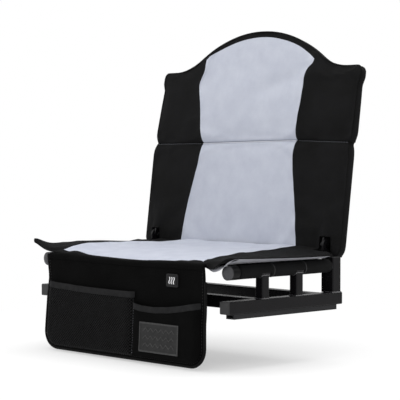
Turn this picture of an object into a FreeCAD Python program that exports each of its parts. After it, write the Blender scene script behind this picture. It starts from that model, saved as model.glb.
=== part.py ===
import FreeCAD, Part
import math
import os
import Sketcher

os.makedirs("parts", exist_ok=True)
doc = FreeCAD.newDocument("heated_stadium_seat")
vec = FreeCAD.Vector

# Driving sizes in millimetres and degrees; heights are above the bench
sheet = doc.addObject("Spreadsheet::Sheet", "sizes")
size_list = (
    ("rail_side", 25.0), ("tube_wall", 1.5), ("tube_corner", 2.5), ("rail_length", 325.0),
    ("rail_spread", 560.0), ("foot_height", 10.0), ("foot_width", 22.0), ("foot_wall", 3.0),
    ("foot_inset", 14.0), ("cap_flange", 3.0), ("cap_depth", 16.0), ("cap_round", 2.0),
    ("fit_gap", 0.2),
    ("front_bar_y", -66.0), ("rear_bar_y", 111.0),
    ("post_side", 20.0), ("front_post_y", -59.0), ("middle_post_y", 39.0),
    ("rear_post_inset", 14.5), ("post_rise", 1.0),
    ("seat_tube_diameter", 25.0), ("seat_tube_height", 90.2), ("tube_cap_diameter", 28.5),
    ("tube_cap_length", 28.0), ("tube_cap_dome", 5.0), ("tube_cap_inset", 0.5),
    ("hinge_setback", 0.5), ("hinge_rise", 25.0), ("recline", 8.8), ("plate_width", 30.0),
    ("plate_thickness", 5.0), ("lug_width", 22.0), ("lug_thickness", 4.0), ("lug_height", 64.0),
    ("lug_taper", 8.0), ("tail_width", 12.0), ("tail_length", 25.0), ("moving_gap", 0.5),
    ("pivot_diameter", 8.0), ("running_gap", 0.08),
    ("bolt_flats", 13.0), ("bolt_head", 5.3), ("nut_height", 6.5), ("stop_diameter", 6.0),
    ("stop_drop", 19.0),
    ("sling_thickness", 1.0), ("sling_sag", 8.0), ("sling_cap_gap", 3.0), ("sling_post_gap", 3.5),
    ("sling_notch", 24.0),
    ("seat_overhang", 22.0), ("seat_nose", 9.0), ("seat_back_gap", 2.5), ("seat_lift", 3.3),
    ("seat_front_rise", 7.5), ("seat_middle_rise", 14.5), ("seat_rear_rise", 20.0),
    ("seat_edge_drop", 2.0), ("seat_edge_round", 1.0), ("seat_edge_bulge", 0.6), ("seat_corner", 14.0),
    ("seat_side_draw", 4.0), ("lip_rise", 6.0), ("lip_width", 16.0), ("lip_bow", 1.3),
    ("lining_thickness", 1.2), ("lining_inset", 0.05), ("cover_thickness", 1.6),
    ("seat_panel_rear", 356.0), ("seat_panel_waist", 374.0), ("seat_panel_front", 446.0),
    ("seat_panel_rim", 3.0), ("hinge_notch", 60.0), ("notch_ahead", 14.0),
    ("heater_thickness", 1.2), ("seat_heater_width", 300.0), ("seat_heater_depth", 200.0),
    ("heater_rise", 5.5), ("lead_diameter", 3.5),
    ("back_overhang", 25.0), ("back_corner", 10.0), ("back_side_draw", 2.0), ("back_bottom", -18.0),
    ("back_front_round", 8.0), ("back_rear_round", 6.0), ("seam_height", 213.0), ("seam_gap", 0.4),
    ("hem_tuck", 4.0), ("seam_tuck", 1.0), ("crown_tuck", 6.0), ("crown_spare", 3.0),
    ("shoulder_height", 379.0), ("crown_height", 463.6), ("shoulder_flat", 25.7),
    ("neck_radius", 135.0), ("shoulder_round", 20.0), ("shoulder_spare", 4.0), ("back_front", 4.0),
    ("back_rear", 20.5), ("hinge_room", 1.5), ("slot_front", 12.0), ("slot_rear", 3.0), ("slot_drop", 60.0),
    ("lower_crown", 10.0), ("upper_crown", 13.0), ("rear_cover_thickness", 1.5), ("rear_cover_inset", 6.0),
    ("back_panel_bottom", 356.0), ("back_panel_waist", 288.0), ("back_panel_top", 340.0),
    ("back_panel_rim", 13.0), ("back_panel_hem", 3.0), ("lower_panel_dip", 2.0), ("upper_panel_swell", 6.0),
    ("panel_bite", 6.0), ("back_heater_width", 260.0), ("back_heater_depth", 150.0),
    ("back_heater_ahead", 1.5), ("back_lead_depth", 4.0), ("back_lead_rise", 6.0),
    ("hoop_diameter", 14.0), ("hoop_bite", 1.0), ("hoop_setback", 12.5), ("hoop_bottom", 22.0),
    ("hoop_top", 346.0), ("hoop_bend", 48.0), ("rod_diameter", 10.0), ("rod_bite", 1.0), ("rod_spread", 380.0),
    ("rod_top", 444.0), ("lower_bar_height", 40.0), ("middle_bar_height", 196.0),
    ("back_bar_diameter", 12.0),
    ("flap_inset", 33.0), ("flap_drop", 2.0), ("flap_bottom", -101.0), ("flap_round", 38.0),
    ("flap_thickness", 5.0), ("flap_gap", 7.5), ("binding_width", 4.0), ("lead_short", 1.0),
    ("binding_thickness", 7.0), ("pocket_margin", 12.0), ("mesh_right", 34.0), ("mesh_top_left", 46.5),
    ("mesh_top_right", 41.0), ("mesh_depth", 6.5), ("net_thickness", 1.0),
    ("net_pitch_x", 11.0), ("net_pitch_z", 9.0), ("net_strand", 2.4), ("net_rim", 5.0),
    ("gusset_thickness", 1.5), ("mesh_band_height", 15.0), ("mesh_band_taper", 3.0),
    ("band_thickness", 1.4), ("pocket_left", 38.0),
    ("pocket_top_left", 20.0), ("pocket_top_right", 31.0),
    ("pocket_sag", 11.0), ("pocket_depth", 10.0), ("pocket_cloth", 1.4), ("pocket_band_height", 13.0),
    ("patch_width", 114.0), ("patch_height", 60.0), ("patch_thickness", 1.6), ("patch_x", 125.0),
    ("patch_z", -47.0), ("patch_rim", 3.5), ("patch_recess", 0.7), ("patch_round", 3.0),
    ("button_x", 151.5), ("button_drop", 34.0), ("frame_width", 34.0), ("frame_height", 26.0),
    ("frame_rim", 3.6), ("frame_thickness", 2.6), ("frame_round", 4.0), ("button_gap", 0.4),
    ("button_proud", 0.8), ("button_travel", 0.8), ("button_round", 0.5), ("control_width", 44.0),
    ("control_height", 34.0), ("control_thickness", 3.0), ("mark_stroke", 2.2), ("mark_height", 14.0),
    ("mark_pitch", 6.4), ("mark_swing", 1.4), ("mark_relief", 0.3),
)
for row, (alias, value) in enumerate(size_list, 1):
    sheet.set(f"A{row}", alias)
    sheet.set(f"B{row}", str(value))
    sheet.setAlias(f"B{row}", alias)
doc.recompute()
nodes = {}


def size(rule):
    return float(sheet.evalExpression(rule))


def bind(item, **rules):
    for name, rule in rules.items():
        item.setExpression(name, rule)
    return item


def place(item, x="0", y="0", z="0"):
    for axis, rule in zip("xyz", (x, y, z)):
        item.setExpression(f"Placement.Base.{axis}", rule)
    return item


def keep(item, node):
    item.Label = node
    nodes[node] = item
    return item


# Puts a piece drawn in the backrest's own upright frame onto the pivot, leaning back
def on_back(item):
    lean = FreeCAD.Rotation(vec(-1, 0, 0), size("recline"))
    item.Placement = FreeCAD.Placement(vec(0, size(hinge_y), size(hinge_height)), lean)
    item.setExpression("Placement.Base.y", hinge_y)
    item.setExpression("Placement.Base.z", hinge_height)
    item.setExpression("Placement.Rotation.Angle", "sizes.recline")
    return item


def new_body(name):
    return doc.addObject("PartDesign::Body", name + "_body")


def new_sketch(body, role):
    plane = [item for item in body.Origin.OriginFeatures if item.Role == role][0]
    sketch = body.newObject("Sketcher::SketchObject", body.Name + "_sketch")
    sketch.AttachmentSupport = (plane, [""])
    sketch.MapMode = "FlatFace"
    return sketch


def datum(sketch, constraint, rule):
    number = sketch.addConstraint(constraint)
    sketch.setExpression(f"Constraints[{number}]", rule)


# Draws a closed outline; a corner may carry (radius, side) for the arc that leaves it
def outline(sketch, corners):
    points = [vec(size(corner[0]), size(corner[1]), 0) for corner in corners]
    ends = []
    for number, corner in enumerate(corners):
        start = points[number]
        stop = points[(number + 1) % len(points)]
        if len(corner) == 2:
            edge = sketch.addGeometry(Part.LineSegment(start, stop), False)
            ends.append((edge, 1, 2))
            continue
        radius = size(corner[2])
        chord = stop - start
        rise = math.sqrt(max(radius ** 2 - chord.Length ** 2 / 4, 0))
        normal = vec(-chord.y, chord.x, 0).normalize()
        turn = 1 if corner[3] == "left" else -1
        middle = (start + stop) / 2 + normal * (rise * turn)
        first, last = (start, stop) if turn == 1 else (stop, start)
        angles = [math.atan2(p.y - middle.y, p.x - middle.x) for p in (first, last)]
        circle = Part.Circle(middle, vec(0, 0, 1), radius)
        edge = sketch.addGeometry(Part.ArcOfCircle(circle, angles[0], angles[1]), False)
        ends.append((edge, 1, 2) if turn == 1 else (edge, 2, 1))
        if rise > radius / 1000:
            datum(sketch, Sketcher.Constraint("Radius", edge, radius), corner[2])
        else:
            sketch.addConstraint(Sketcher.Constraint("Symmetric", edge, 1, edge, 2, edge, 3))
    for number, (edge, start, stop) in enumerate(ends):
        following = ends[(number + 1) % len(ends)]
        sketch.addConstraint(Sketcher.Constraint("Coincident", edge, stop, following[0], following[1]))
        point = points[number]
        across = Sketcher.Constraint("DistanceX", -1, 1, edge, start, point.x)
        datum(sketch, across, corners[number][0])
        upward = Sketcher.Constraint("DistanceY", -1, 1, edge, start, point.y)
        datum(sketch, upward, corners[number][1])


def rectangle(sketch, width, height):
    ways = (("-", "-"), ("", "-"), ("", ""), ("-", ""))
    outline(sketch, [(f"{a}({width}) / 2", f"{b}({height}) / 2") for a, b in ways])


def ring(sketch, radius):
    edge = sketch.addGeometry(Part.Circle(vec(0, 0, 0), vec(0, 0, 1), size(radius)), False)
    datum(sketch, Sketcher.Constraint("Radius", edge, size(radius)), radius)
    sketch.addConstraint(Sketcher.Constraint("Coincident", edge, 3, -1, 1))


def extrude(body, sketch, length, symmetric=True, reverse=False):
    pad = body.newObject("PartDesign::Pad", body.Name + "_pad")
    pad.Profile = sketch
    pad.setExpression("Length", length)
    if symmetric:
        pad.SideType = "Symmetric"
    pad.Reversed = reverse
    body.Tip = pad
    doc.recompute()
    return pad


def recess(body, sketch, depth, reverse=False):
    pocket = body.newObject("PartDesign::Pocket", body.Name + "_pocket")
    pocket.Profile = sketch
    pocket.setExpression("Length", depth)
    pocket.Reversed = reverse
    body.Tip = pocket
    doc.recompute()
    return pocket


def round_edges(body, feature, choose, radius):
    edges = [f"Edge{n}" for n, edge in enumerate(feature.Shape.Edges, 1) if choose(edge)]
    fillet = body.newObject("PartDesign::Fillet", body.Name + "_round")
    fillet.Base = (feature, edges)
    fillet.setExpression("Radius", radius)
    body.Tip = fillet
    doc.recompute()
    return fillet


def runs_along(axis, length):
    def check(edge):
        if len(edge.Vertexes) != 2:
            return False
        way = edge.Vertexes[1].Point - edge.Vertexes[0].Point
        return abs(abs(way.dot(axis)) - length) < 1e-4 and abs(way.Length - length) < 1e-4
    return check


back_way = vec(0, 1, 0)
along = {"XY_Plane": vec(0, 0, 1), "XZ_Plane": back_way, "YZ_Plane": vec(1, 0, 0)}


def square_tube(name, role, side, length):
    body = new_body(name)
    sketch = new_sketch(body, role)
    rectangle(sketch, side, side)
    rectangle(sketch, f"{side} - 2 * sizes.tube_wall", f"{side} - 2 * sizes.tube_wall")
    pad = extrude(body, sketch, length)
    half = size(side) / 2

    def outer(edge):
        point = edge.Vertexes[0].Point
        reach = [abs(point.x), abs(point.y), abs(point.z)]
        on_corner = sum(abs(far - half) < 1e-4 for far in reach) >= 2
        return on_corner and runs_along(along[role], size(length))(edge)
    round_edges(body, pad, outer, "sizes.tube_corner")
    return body


def solid_body(name, role, length, draw, symmetric=True, reverse=False):
    body = new_body(name)
    sketch = new_sketch(body, role)
    draw(sketch)
    extrude(body, sketch, length, symmetric, reverse)
    return body


def combine(kind, name, base, tool):
    item = doc.addObject(kind, name)
    item.Base = base
    item.Tool = tool
    return item


def group(name, items):
    item = doc.addObject("Part::Compound", name)
    item.Links = items
    return keep(item, name)


def shape_feature(name, shape):
    item = doc.addObject("Part::Feature", name)
    item.Shape = shape
    return keep(item, name)


sides = (("left", "-1"), ("right", "1"))
# Heights and places that follow from the sizes
rail_middle = "sizes.foot_height + sizes.rail_side / 2"
rail_top = "sizes.foot_height + sizes.rail_side"
rail_x = "sizes.rail_spread / 2"
rail_end = "(sizes.rail_length / 2)"
rear_post_y = f"({rail_end} - sizes.rear_post_inset)"
hinge_y = f"({rear_post_y} + sizes.hinge_setback)"
tube_cap_front = f"(sizes.tube_cap_inset - {rail_end})"
seat_front = f"(-{rail_end} - sizes.seat_nose)"
seat_rear = f"({hinge_y} - sizes.seat_back_gap)"
seat_under = "(sizes.seat_tube_height + sizes.seat_tube_diameter / 2 + sizes.seat_lift)"
heater_height = f"({seat_under} + sizes.heater_rise)"
rear_post_top = f"({seat_under} + sizes.post_rise)"
hinge_height = f"({seat_under} + sizes.hinge_rise)"
flap_y = f"({seat_front} - sizes.flap_gap)"
flap_top = f"({seat_under} - sizes.flap_drop)"
button_z = f"({flap_top} - sizes.button_drop)"

# Rails, their end caps and the rubber strips they stand on
cap_items = []
for side, sign in sides:
    rail = square_tube(side + "_rail", "XZ_Plane", "sizes.rail_side", "sizes.rail_length")
    keep(place(rail, f"{sign} * {rail_x}", "0", rail_middle), side + "_rail")
    for end, way in (("front", "-1"), ("rear", "1")):
        cap = new_body(f"{side}_{end}_cap")
        flange = new_sketch(cap, "XZ_Plane")
        rectangle(flange, "sizes.rail_side", "sizes.rail_side")
        pad = extrude(cap, flange, "sizes.cap_flange", False, end == "rear")
        face_y = size("cap_flange") * float(way)
        corners = round_edges(cap, pad, runs_along(back_way, size("cap_flange")), "sizes.tube_corner")

        def on_face(edge):
            return all(abs(spot.Point.y - face_y) < 1e-4 for spot in edge.Vertexes)
        round_edges(cap, corners, on_face, "sizes.cap_round")
        plug = new_sketch(cap, "XZ_Plane")
        inner = "sizes.rail_side - 2 * (sizes.tube_wall + sizes.fit_gap)"
        rectangle(plug, inner, inner)
        extrude(cap, plug, "sizes.cap_depth", False, end == "front")
        place(cap, f"{sign} * {rail_x}", f"{way} * sizes.rail_length / 2", rail_middle)
        cap_items.append(cap)
    foot = new_body(side + "_foot")
    section = new_sketch(foot, "XZ_Plane")
    rectangle(section, "sizes.foot_width", "sizes.foot_height")
    rectangle(section, "sizes.foot_width - 2 * sizes.foot_wall", "sizes.foot_height - 2 * sizes.foot_wall")
    extrude(foot, section, "sizes.rail_length - 2 * sizes.foot_inset")
    keep(place(foot, f"{sign} * {rail_x}", "0", "sizes.foot_height / 2"), side + "_foot_strip")
group("rail_end_caps", cap_items)

# Cross bars between the rails
for name in ("front", "rear"):
    bar_length = "sizes.rail_spread - sizes.rail_side"
    bar = square_tube(name + "_cross", "YZ_Plane", "sizes.rail_side", bar_length)
    keep(place(bar, "0", f"sizes.{name}_bar_y", rail_middle), name + "_cross_bar")

# Posts: the front and middle ones are saddled to the round seat tubes
tube_front = f"({tube_cap_front} + sizes.tube_cap_dome)"
tube_rear = f"({rear_post_y} - sizes.rail_side / 2)"
tube_y = f"({tube_front} + {tube_rear}) / 2"
tube_length = f"{tube_rear} - {tube_front}"
plug_items = []
for side, sign in sides:
    for name in ("front", "middle"):
        height = f"sizes.seat_tube_height - ({rail_top})"
        post = square_tube(f"{side}_{name}_post", "XY_Plane", "sizes.post_side", height)
        place(post, f"{sign} * {rail_x}", f"sizes.{name}_post_y", f"{rail_top} + ({height}) / 2")
        saddle = doc.addObject("Part::Cylinder", f"{side}_{name}_saddle")
        bind(saddle, Radius="sizes.seat_tube_diameter / 2", Height="2 * sizes.post_side")
        saddle.Placement.Rotation = FreeCAD.Rotation(vec(1, 0, 0), -90)
        saddle_y = f"sizes.{name}_post_y - sizes.post_side"
        place(saddle, f"{sign} * {rail_x}", saddle_y, "sizes.seat_tube_height")
        keep(combine("Part::Cut", f"{side}_{name}_cut", post, saddle), f"{side}_{name}_post")
    height = f"{rear_post_top} - ({rail_top})"
    post = square_tube(f"{side}_rear_post", "XY_Plane", "sizes.rail_side", height)
    place(post, f"{sign} * {rail_x}", rear_post_y, f"{rail_top} + ({height}) / 2")
    keep(post, f"{side}_rear_post")
    plug = new_body(side + "_plug")
    lid = new_sketch(plug, "XY_Plane")
    rectangle(lid, "sizes.rail_side", "sizes.rail_side")
    pad = extrude(plug, lid, "sizes.cap_flange / 2", False)
    upright_corner = runs_along(vec(0, 0, 1), size("cap_flange / 2"))
    round_edges(plug, pad, upright_corner, "sizes.tube_corner")
    stem = new_sketch(plug, "XY_Plane")
    inner = "sizes.rail_side - 2 * (sizes.tube_wall + sizes.fit_gap)"
    rectangle(stem, inner, inner)
    extrude(plug, stem, "sizes.cap_depth", False, True)
    place(plug, f"{sign} * {rail_x}", rear_post_y, rear_post_top)
    plug_items.append(plug)
group("rear_post_plugs", plug_items)

# Round seat tubes and the domed caps over their front ends
for side, sign in sides:
    def tube_section(sketch):
        ring(sketch, "sizes.seat_tube_diameter / 2")
        ring(sketch, "sizes.seat_tube_diameter / 2 - sizes.tube_wall")
    tube = solid_body(side + "_seat_tube", "XZ_Plane", tube_length, tube_section)
    keep(place(tube, f"{sign} * {rail_x}", tube_y, "sizes.seat_tube_height"), side + "_seat_tube")
    cap = new_body(side + "_tube_cap")
    profile = new_sketch(cap, "YZ_Plane")
    rim = "sizes.tube_cap_diameter / 2"
    bore = "sizes.seat_tube_diameter / 2"
    dome = "sizes.tube_cap_dome"
    dome_radius = f"(({rim}) ^ 2 + {dome} ^ 2) / (2 * {dome})"
    outline(profile, (("0", "0"), (dome, "0"), (dome, bore), ("sizes.tube_cap_length", bore),
                      ("sizes.tube_cap_length", rim), (dome, rim, dome_radius, "left")))
    turn = cap.newObject("PartDesign::Revolution", side + "_cap_turn")
    turn.Profile = profile
    turn.ReferenceAxis = (profile, ["H_Axis"])
    turn.Angle = 360
    cap.Tip = turn
    place(cap, f"{sign} * {rail_x}", tube_cap_front, "sizes.seat_tube_height")
    keep(cap, side + "_tube_cap")

# Hinge plates on the rear posts, with pivot bolts, nuts and stop pins
plate_x = f"({rail_x}) - sizes.rail_side / 2 - sizes.plate_thickness / 2"
lug_x = f"{plate_x} - sizes.plate_thickness / 2 - sizes.moving_gap - sizes.lug_thickness / 2"
head_x = f"{plate_x} + sizes.plate_thickness / 2"
nut_x = f"{lug_x} - sizes.lug_thickness / 2 - sizes.moving_gap"
bolt_items = []
nut_items = []
pin_items = []


def plate_section(sketch):
    half = "sizes.plate_width / 2"
    foot = f"{rail_top} - {hinge_height}"
    outline(sketch, ((f"-{half}", foot), (half, foot), (half, "0", half, "left"), (f"-{half}", "0")))
    ring(sketch, "sizes.pivot_diameter / 2")


def hexagon(sketch):
    reach = "sizes.bolt_flats / sqrt(3)"
    outline(sketch, [(f"{reach} * {math.cos(math.radians(60 * n)):.6f}",
                      f"{reach} * {math.sin(math.radians(60 * n)):.6f}") for n in range(6)])


for side, sign in sides:
    plate = solid_body(side + "_plate", "YZ_Plane", "sizes.plate_thickness", plate_section)
    place(plate, f"{sign} * ({plate_x})", hinge_y, hinge_height)
    keep(plate, side + "_hinge_plate")
    right = side == "right"
    bolt = new_body(side + "_bolt")
    head = new_sketch(bolt, "YZ_Plane")
    hexagon(head)
    extrude(bolt, head, "sizes.bolt_head", False, not right)
    shank = new_sketch(bolt, "YZ_Plane")
    ring(shank, "sizes.pivot_diameter / 2")
    grip = f"({head_x}) - ({nut_x}) + sizes.nut_height"
    extrude(bolt, shank, grip, False, right)
    bolt_items.append(place(bolt, f"{sign} * ({head_x})", hinge_y, hinge_height))

    def nut_section(sketch):
        hexagon(sketch)
        ring(sketch, "sizes.pivot_diameter / 2")
    nut = solid_body(side + "_nut", "YZ_Plane", "sizes.nut_height", nut_section, False, right)
    nut_items.append(place(nut, f"{sign} * ({nut_x})", hinge_y, hinge_height))

    def pin_section(sketch):
        ring(sketch, "sizes.stop_diameter / 2")
    pin_length = "sizes.moving_gap + sizes.lug_thickness"
    pin = solid_body(side + "_pin", "YZ_Plane", pin_length, pin_section, False, right)
    ahead = "(sizes.tail_width + sizes.stop_diameter) / 2 + sizes.fit_gap / 2"
    level = "cos(sizes.recline * 1deg)"
    lean = "sin(sizes.recline * 1deg)"
    pin_y = f"{hinge_y} - ({ahead}) * {level} - sizes.stop_drop * {lean}"
    pin_z = f"{hinge_height} + ({ahead}) * {lean} - sizes.stop_drop * {level}"
    pin_items.append(place(pin, f"{sign} * ({plate_x} - sizes.plate_thickness / 2)", pin_y, pin_z))
group("pivot_bolts", bolt_items)
group("pivot_nuts", nut_items)
group("stop_pins", pin_items)

# Sling: two sleeves round the seat tubes and the cloth that sags between them
tube_center = [vec(float(sign) * size(rail_x), 0, size("seat_tube_height")) for side, sign in sides]
sleeve_inner = size("seat_tube_diameter / 2 + fit_gap")
sleeve_outer = sleeve_inner + size("sling_thickness")
sling_front = f"({tube_cap_front} + sizes.tube_cap_length + sizes.sling_cap_gap)"
sling_rear = f"({tube_rear} - sizes.sling_post_gap)"
sling_start = vec(0, size(sling_front), 0)
sling_length = size(f"{sling_rear} - {sling_front}")


def sleeve(radius):
    return [Part.makeCylinder(radius, sling_length, point + sling_start, back_way) for point in tube_center]


def sag_band(low):
    edge = tube_center[1].x
    top = size("seat_tube_height") + sleeve_outer - low
    drop = size("sling_sag")
    return vec(-edge, 0, top), vec(0, 0, top - drop), vec(edge, 0, top)


upper = sag_band(0)
lower = sag_band(size("sling_thickness"))
cloth_edge = Part.Wire([
    Part.Arc(*upper).toShape(), Part.makeLine(upper[2], lower[2]),
    Part.Arc(*reversed(lower)).toShape(), Part.makeLine(lower[0], upper[0])])
cloth = Part.Face(cloth_edge).extrude(back_way * sling_length)
cloth.translate(sling_start)
sling = cloth.multiFuse(sleeve(sleeve_outer)).cut(Part.makeCompound(sleeve(sleeve_inner)))
notches = []
for point in tube_center:
    for name in ("front_post_y", "middle_post_y"):
        wide = 3 * sleeve_outer
        spot = vec(point.x - wide / 2, size(name) - size("sling_notch") / 2, point.z - wide / 2)
        notches.append(Part.makeBox(wide, size("sling_notch"), wide / 2, spot))
shape_feature("seat_sling", sling.cut(Part.makeCompound(notches)).removeSplitter())

# Seat cushion, lofted from front to rear: flat underside, turned-up lips, low crown
seat_half = size("rail_spread / 2 + seat_overhang")
under = size(seat_under)
front_y = size(seat_front)
rear_y = size(seat_rear)
seat_depth = rear_y - front_y
middle_top = under + size("seat_middle_rise")
rear_top = under + size("seat_rear_rise")
front_top = under + size("seat_front_rise")


def seat_section(y, half, top, inset):
    low = under + inset
    high = top - inset
    edge = high - size("seat_edge_drop")
    out = half - inset
    lip = size("lip_width")
    rise = min(size("lip_rise"), (edge - low) / 2)
    a = vec(lip - out, y, low)
    b = vec(out - lip, y, low)
    c = vec(out, y, low + rise)
    d = vec(out - size("seat_edge_round"), y, edge)
    e = vec(size("seat_edge_round") - out, y, edge)
    f = vec(-out, y, low + rise)
    bulge = vec(out + size("seat_edge_bulge"), y, (low + rise + edge) / 2)
    bow = size("lip_bow") * rise / math.hypot(lip, rise) / size("lip_rise")
    curl = vec(out - lip / 2 + bow * rise, y, low + rise / 2 - bow * lip)
    return Part.Wire([
        Part.makeLine(a, b), Part.Arc(b, curl, c).toShape(), Part.Arc(c, bulge, d).toShape(),
        Part.Arc(d, vec(0, y, high), e).toShape(),
        Part.Arc(e, vec(-bulge.x, y, bulge.z), f).toShape(),
        Part.Arc(f, vec(-curl.x, y, curl.z), a).toShape()])


# Quarter-round rise from 0 at an end to 1 once the share passes the run-in
def run_in(share, reach):
    left = 1 - min(share / reach, 1)
    return math.sqrt(1 - left ** 2)


# Stations run from the front to the rear as shares of the depth
front_run = 0.12
corner_run = 0.05
level_share = 0.3
seat_stations = (0, 0.006, 0.02, 0.045, 0.08, front_run, level_share, 0.5, 0.7, 0.88, 1.0)


def seat_loft(inset):
    wires = []
    for part in seat_stations:
        slope = max(part - level_share, 0) / (1 - level_share)
        front_rise = (middle_top - front_top) * run_in(part, front_run)
        top = front_top + front_rise + (rear_top - middle_top) * slope ** 2
        corner = size("seat_corner") * (1 - run_in(part, corner_run))
        half = seat_half - corner - size("seat_side_draw") * math.sin(math.pi * part)
        y = front_y + inset + part * (seat_depth - 2 * inset)
        wires.append(seat_section(y, half, top, inset))
    return Part.makeLoft(wires, True, True)


def seat_lining():
    thin = size("lining_thickness")
    drop = vec(0, 0, -thin)
    shape = seat_loft(size("lining_inset"))
    shape.translate(drop)
    corner = vec(-2 * seat_half, front_y - seat_depth, under - 2 * thin)
    low_part = Part.makeBox(4 * seat_half, 3 * seat_depth, size("lip_rise") + 2 * thin, corner)
    return shape.common(low_part)


plate_mid = size(plate_x)
notch_boxes = []
notch_rooms = []
for sign in (-1, 1):
    for extra, boxes in ((0, notch_boxes), (size("cover_thickness"), notch_rooms)):
        wide = size("hinge_notch") + 2 * extra
        start_y = size(f"{hinge_y} - sizes.plate_width / 2 - sizes.notch_ahead") - extra
        inner_x = plate_mid - size("plate_width") / 2 - extra
        start_x = inner_x if sign > 0 else -inner_x - wide
        boxes.append(Part.makeBox(wide, seat_depth, 2 * rear_top, vec(start_x, start_y, 0)))
hinge_notches = Part.makeCompound(notch_boxes)
seat_whole = seat_loft(0).cut(hinge_notches)
seat_core = seat_loft(size("cover_thickness")).cut(Part.makeCompound(notch_rooms))
seat_shell = seat_whole.cut(seat_core)

rear_half = size("seat_panel_rear") / 2
waist_half = size("seat_panel_waist") / 2
front_half = size("seat_panel_front") / 2
panel_front = front_y + size("seat_panel_rim")
panel_rear = rear_y - size("seat_panel_rim")


def hourglass(start, stop, first, waist, last, flat):
    middle = (start + stop) / 2
    left = Part.Arc(vec(-first, start, flat), vec(-waist, middle, flat), vec(-last, stop, flat)).toShape()
    right = Part.Arc(vec(last, stop, flat), vec(waist, middle, flat), vec(first, start, flat)).toShape()
    far = Part.makeLine(vec(-last, stop, flat), vec(last, stop, flat))
    near = Part.makeLine(vec(first, start, flat), vec(-first, start, flat))
    return Part.Face(Part.Wire([left, far, right, near]))


panel_face = hourglass(panel_front, panel_rear, front_half, waist_half, rear_half,
                       size(heater_height))
seat_cutter = panel_face.extrude(vec(0, 0, rear_top))
shape_feature("seat_center_panel", seat_shell.common(seat_cutter))
shape_feature("seat_border", seat_shell.cut(seat_cutter))
shape_feature("seat_lining", seat_lining().cut(hinge_notches).cut(seat_whole))

heater = keep(doc.addObject("Part::Box", "seat_heater_mat"), "seat_heater")
bind(heater, Length="sizes.seat_heater_width", Width="sizes.seat_heater_depth",
     Height="sizes.heater_thickness")
heater_y = f"({seat_front} + {seat_rear} - sizes.seat_heater_depth) / 2"
place(heater, "-sizes.seat_heater_width / 2", heater_y, heater_height)
lead = keep(doc.addObject("Part::Cylinder", "seat_cable"), "seat_lead")
lead_y = f"{seat_front} + 2 * sizes.cover_thickness"
bind(lead, Radius="sizes.lead_diameter / 2", Height=f"{heater_y} - ({lead_y})")
lead.Placement.Rotation = FreeCAD.Rotation(vec(1, 0, 0), -90)
place(lead, "sizes.button_x / 2", lead_y, heater_height)
doc.recompute()
shape_feature("seat_foam", seat_core.cut(heater.Shape).cut(lead.Shape))

# Backrest frame in its own upright frame: x across, y to the rear, z up from the pivot
hoop_r = size("hoop_diameter") / 2
hoop_x = size(f"{lug_x} + sizes.lug_thickness / 2 + sizes.hoop_diameter / 2 - sizes.hoop_bite")
hoop_y = size("hoop_setback")
bend = size("hoop_bend")
hoop_top = size("hoop_top")


def arc_in_plane(first, middle, last):
    return Part.Arc(*[vec(x, hoop_y, z) for x, z in (first, middle, last)]).toShape()


def straight(first, last):
    return Part.makeLine(vec(first[0], hoop_y, first[1]), vec(last[0], hoop_y, last[1]))


def hoop_path():
    slant = bend * (1 - math.sqrt(0.5))
    left, right = -hoop_x, hoop_x
    foot = size("hoop_bottom")
    return Part.Wire([
        straight((left, foot), (left, hoop_top - bend)),
        arc_in_plane((left, hoop_top - bend), (left + slant, hoop_top - slant), (left + bend, hoop_top)),
        straight((left + bend, hoop_top), (right - bend, hoop_top)),
        arc_in_plane((right - bend, hoop_top), (right - slant, hoop_top - slant), (right, hoop_top - bend)),
        straight((right, hoop_top - bend), (right, foot))])


def swept(path, radius):
    start = path.OrderedVertexes[0].Point
    way = path.OrderedEdges[0].tangentAt(path.OrderedEdges[0].FirstParameter)
    section = Part.Wire([Part.makeCircle(radius, start, way)])
    return path.makePipeShell([section], True, True)


def rod_path():
    spread = size("rod_spread") / 2
    low = hoop_top + hoop_r + size("rod_diameter / 2 - rod_bite")
    return Part.Wire([arc_in_plane((-spread, low), (0, size("rod_top")), (spread, low))])


lug_items = {}
for side, sign in sides:
    lug = new_body(side + "_lug")
    section = new_sketch(lug, "YZ_Plane")
    half = "sizes.lug_width / 2"
    tail = "sizes.tail_width / 2"
    top = "sizes.lug_height"
    shift = "sizes.hoop_setback - sizes.lug_width / 2"
    outline(section, (
        (f"-{tail}", "-sizes.tail_length"), (tail, "-sizes.tail_length"), (tail, f"-{half}"),
        (half, "0"), (f"{half} + ({shift})", f"{half}"), (f"{half} + ({shift})", top),
        (f"{shift} - {half} + sizes.lug_taper", top), (f"-{half}", "0"), (f"-{tail}", f"-{half}")))
    ring(section, "sizes.pivot_diameter / 2 + sizes.running_gap")
    extrude(lug, section, "sizes.lug_thickness")
    lug_items[side] = keep(on_back(lug), side + "_hinge_lug")
    lug.setExpression("Placement.Base.x", f"{sign} * ({lug_x})")
doc.recompute()


def upright(item):
    shape = item.Shape.copy()
    shape.transformShape(on_back_inverse.toMatrix())
    return shape


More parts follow.
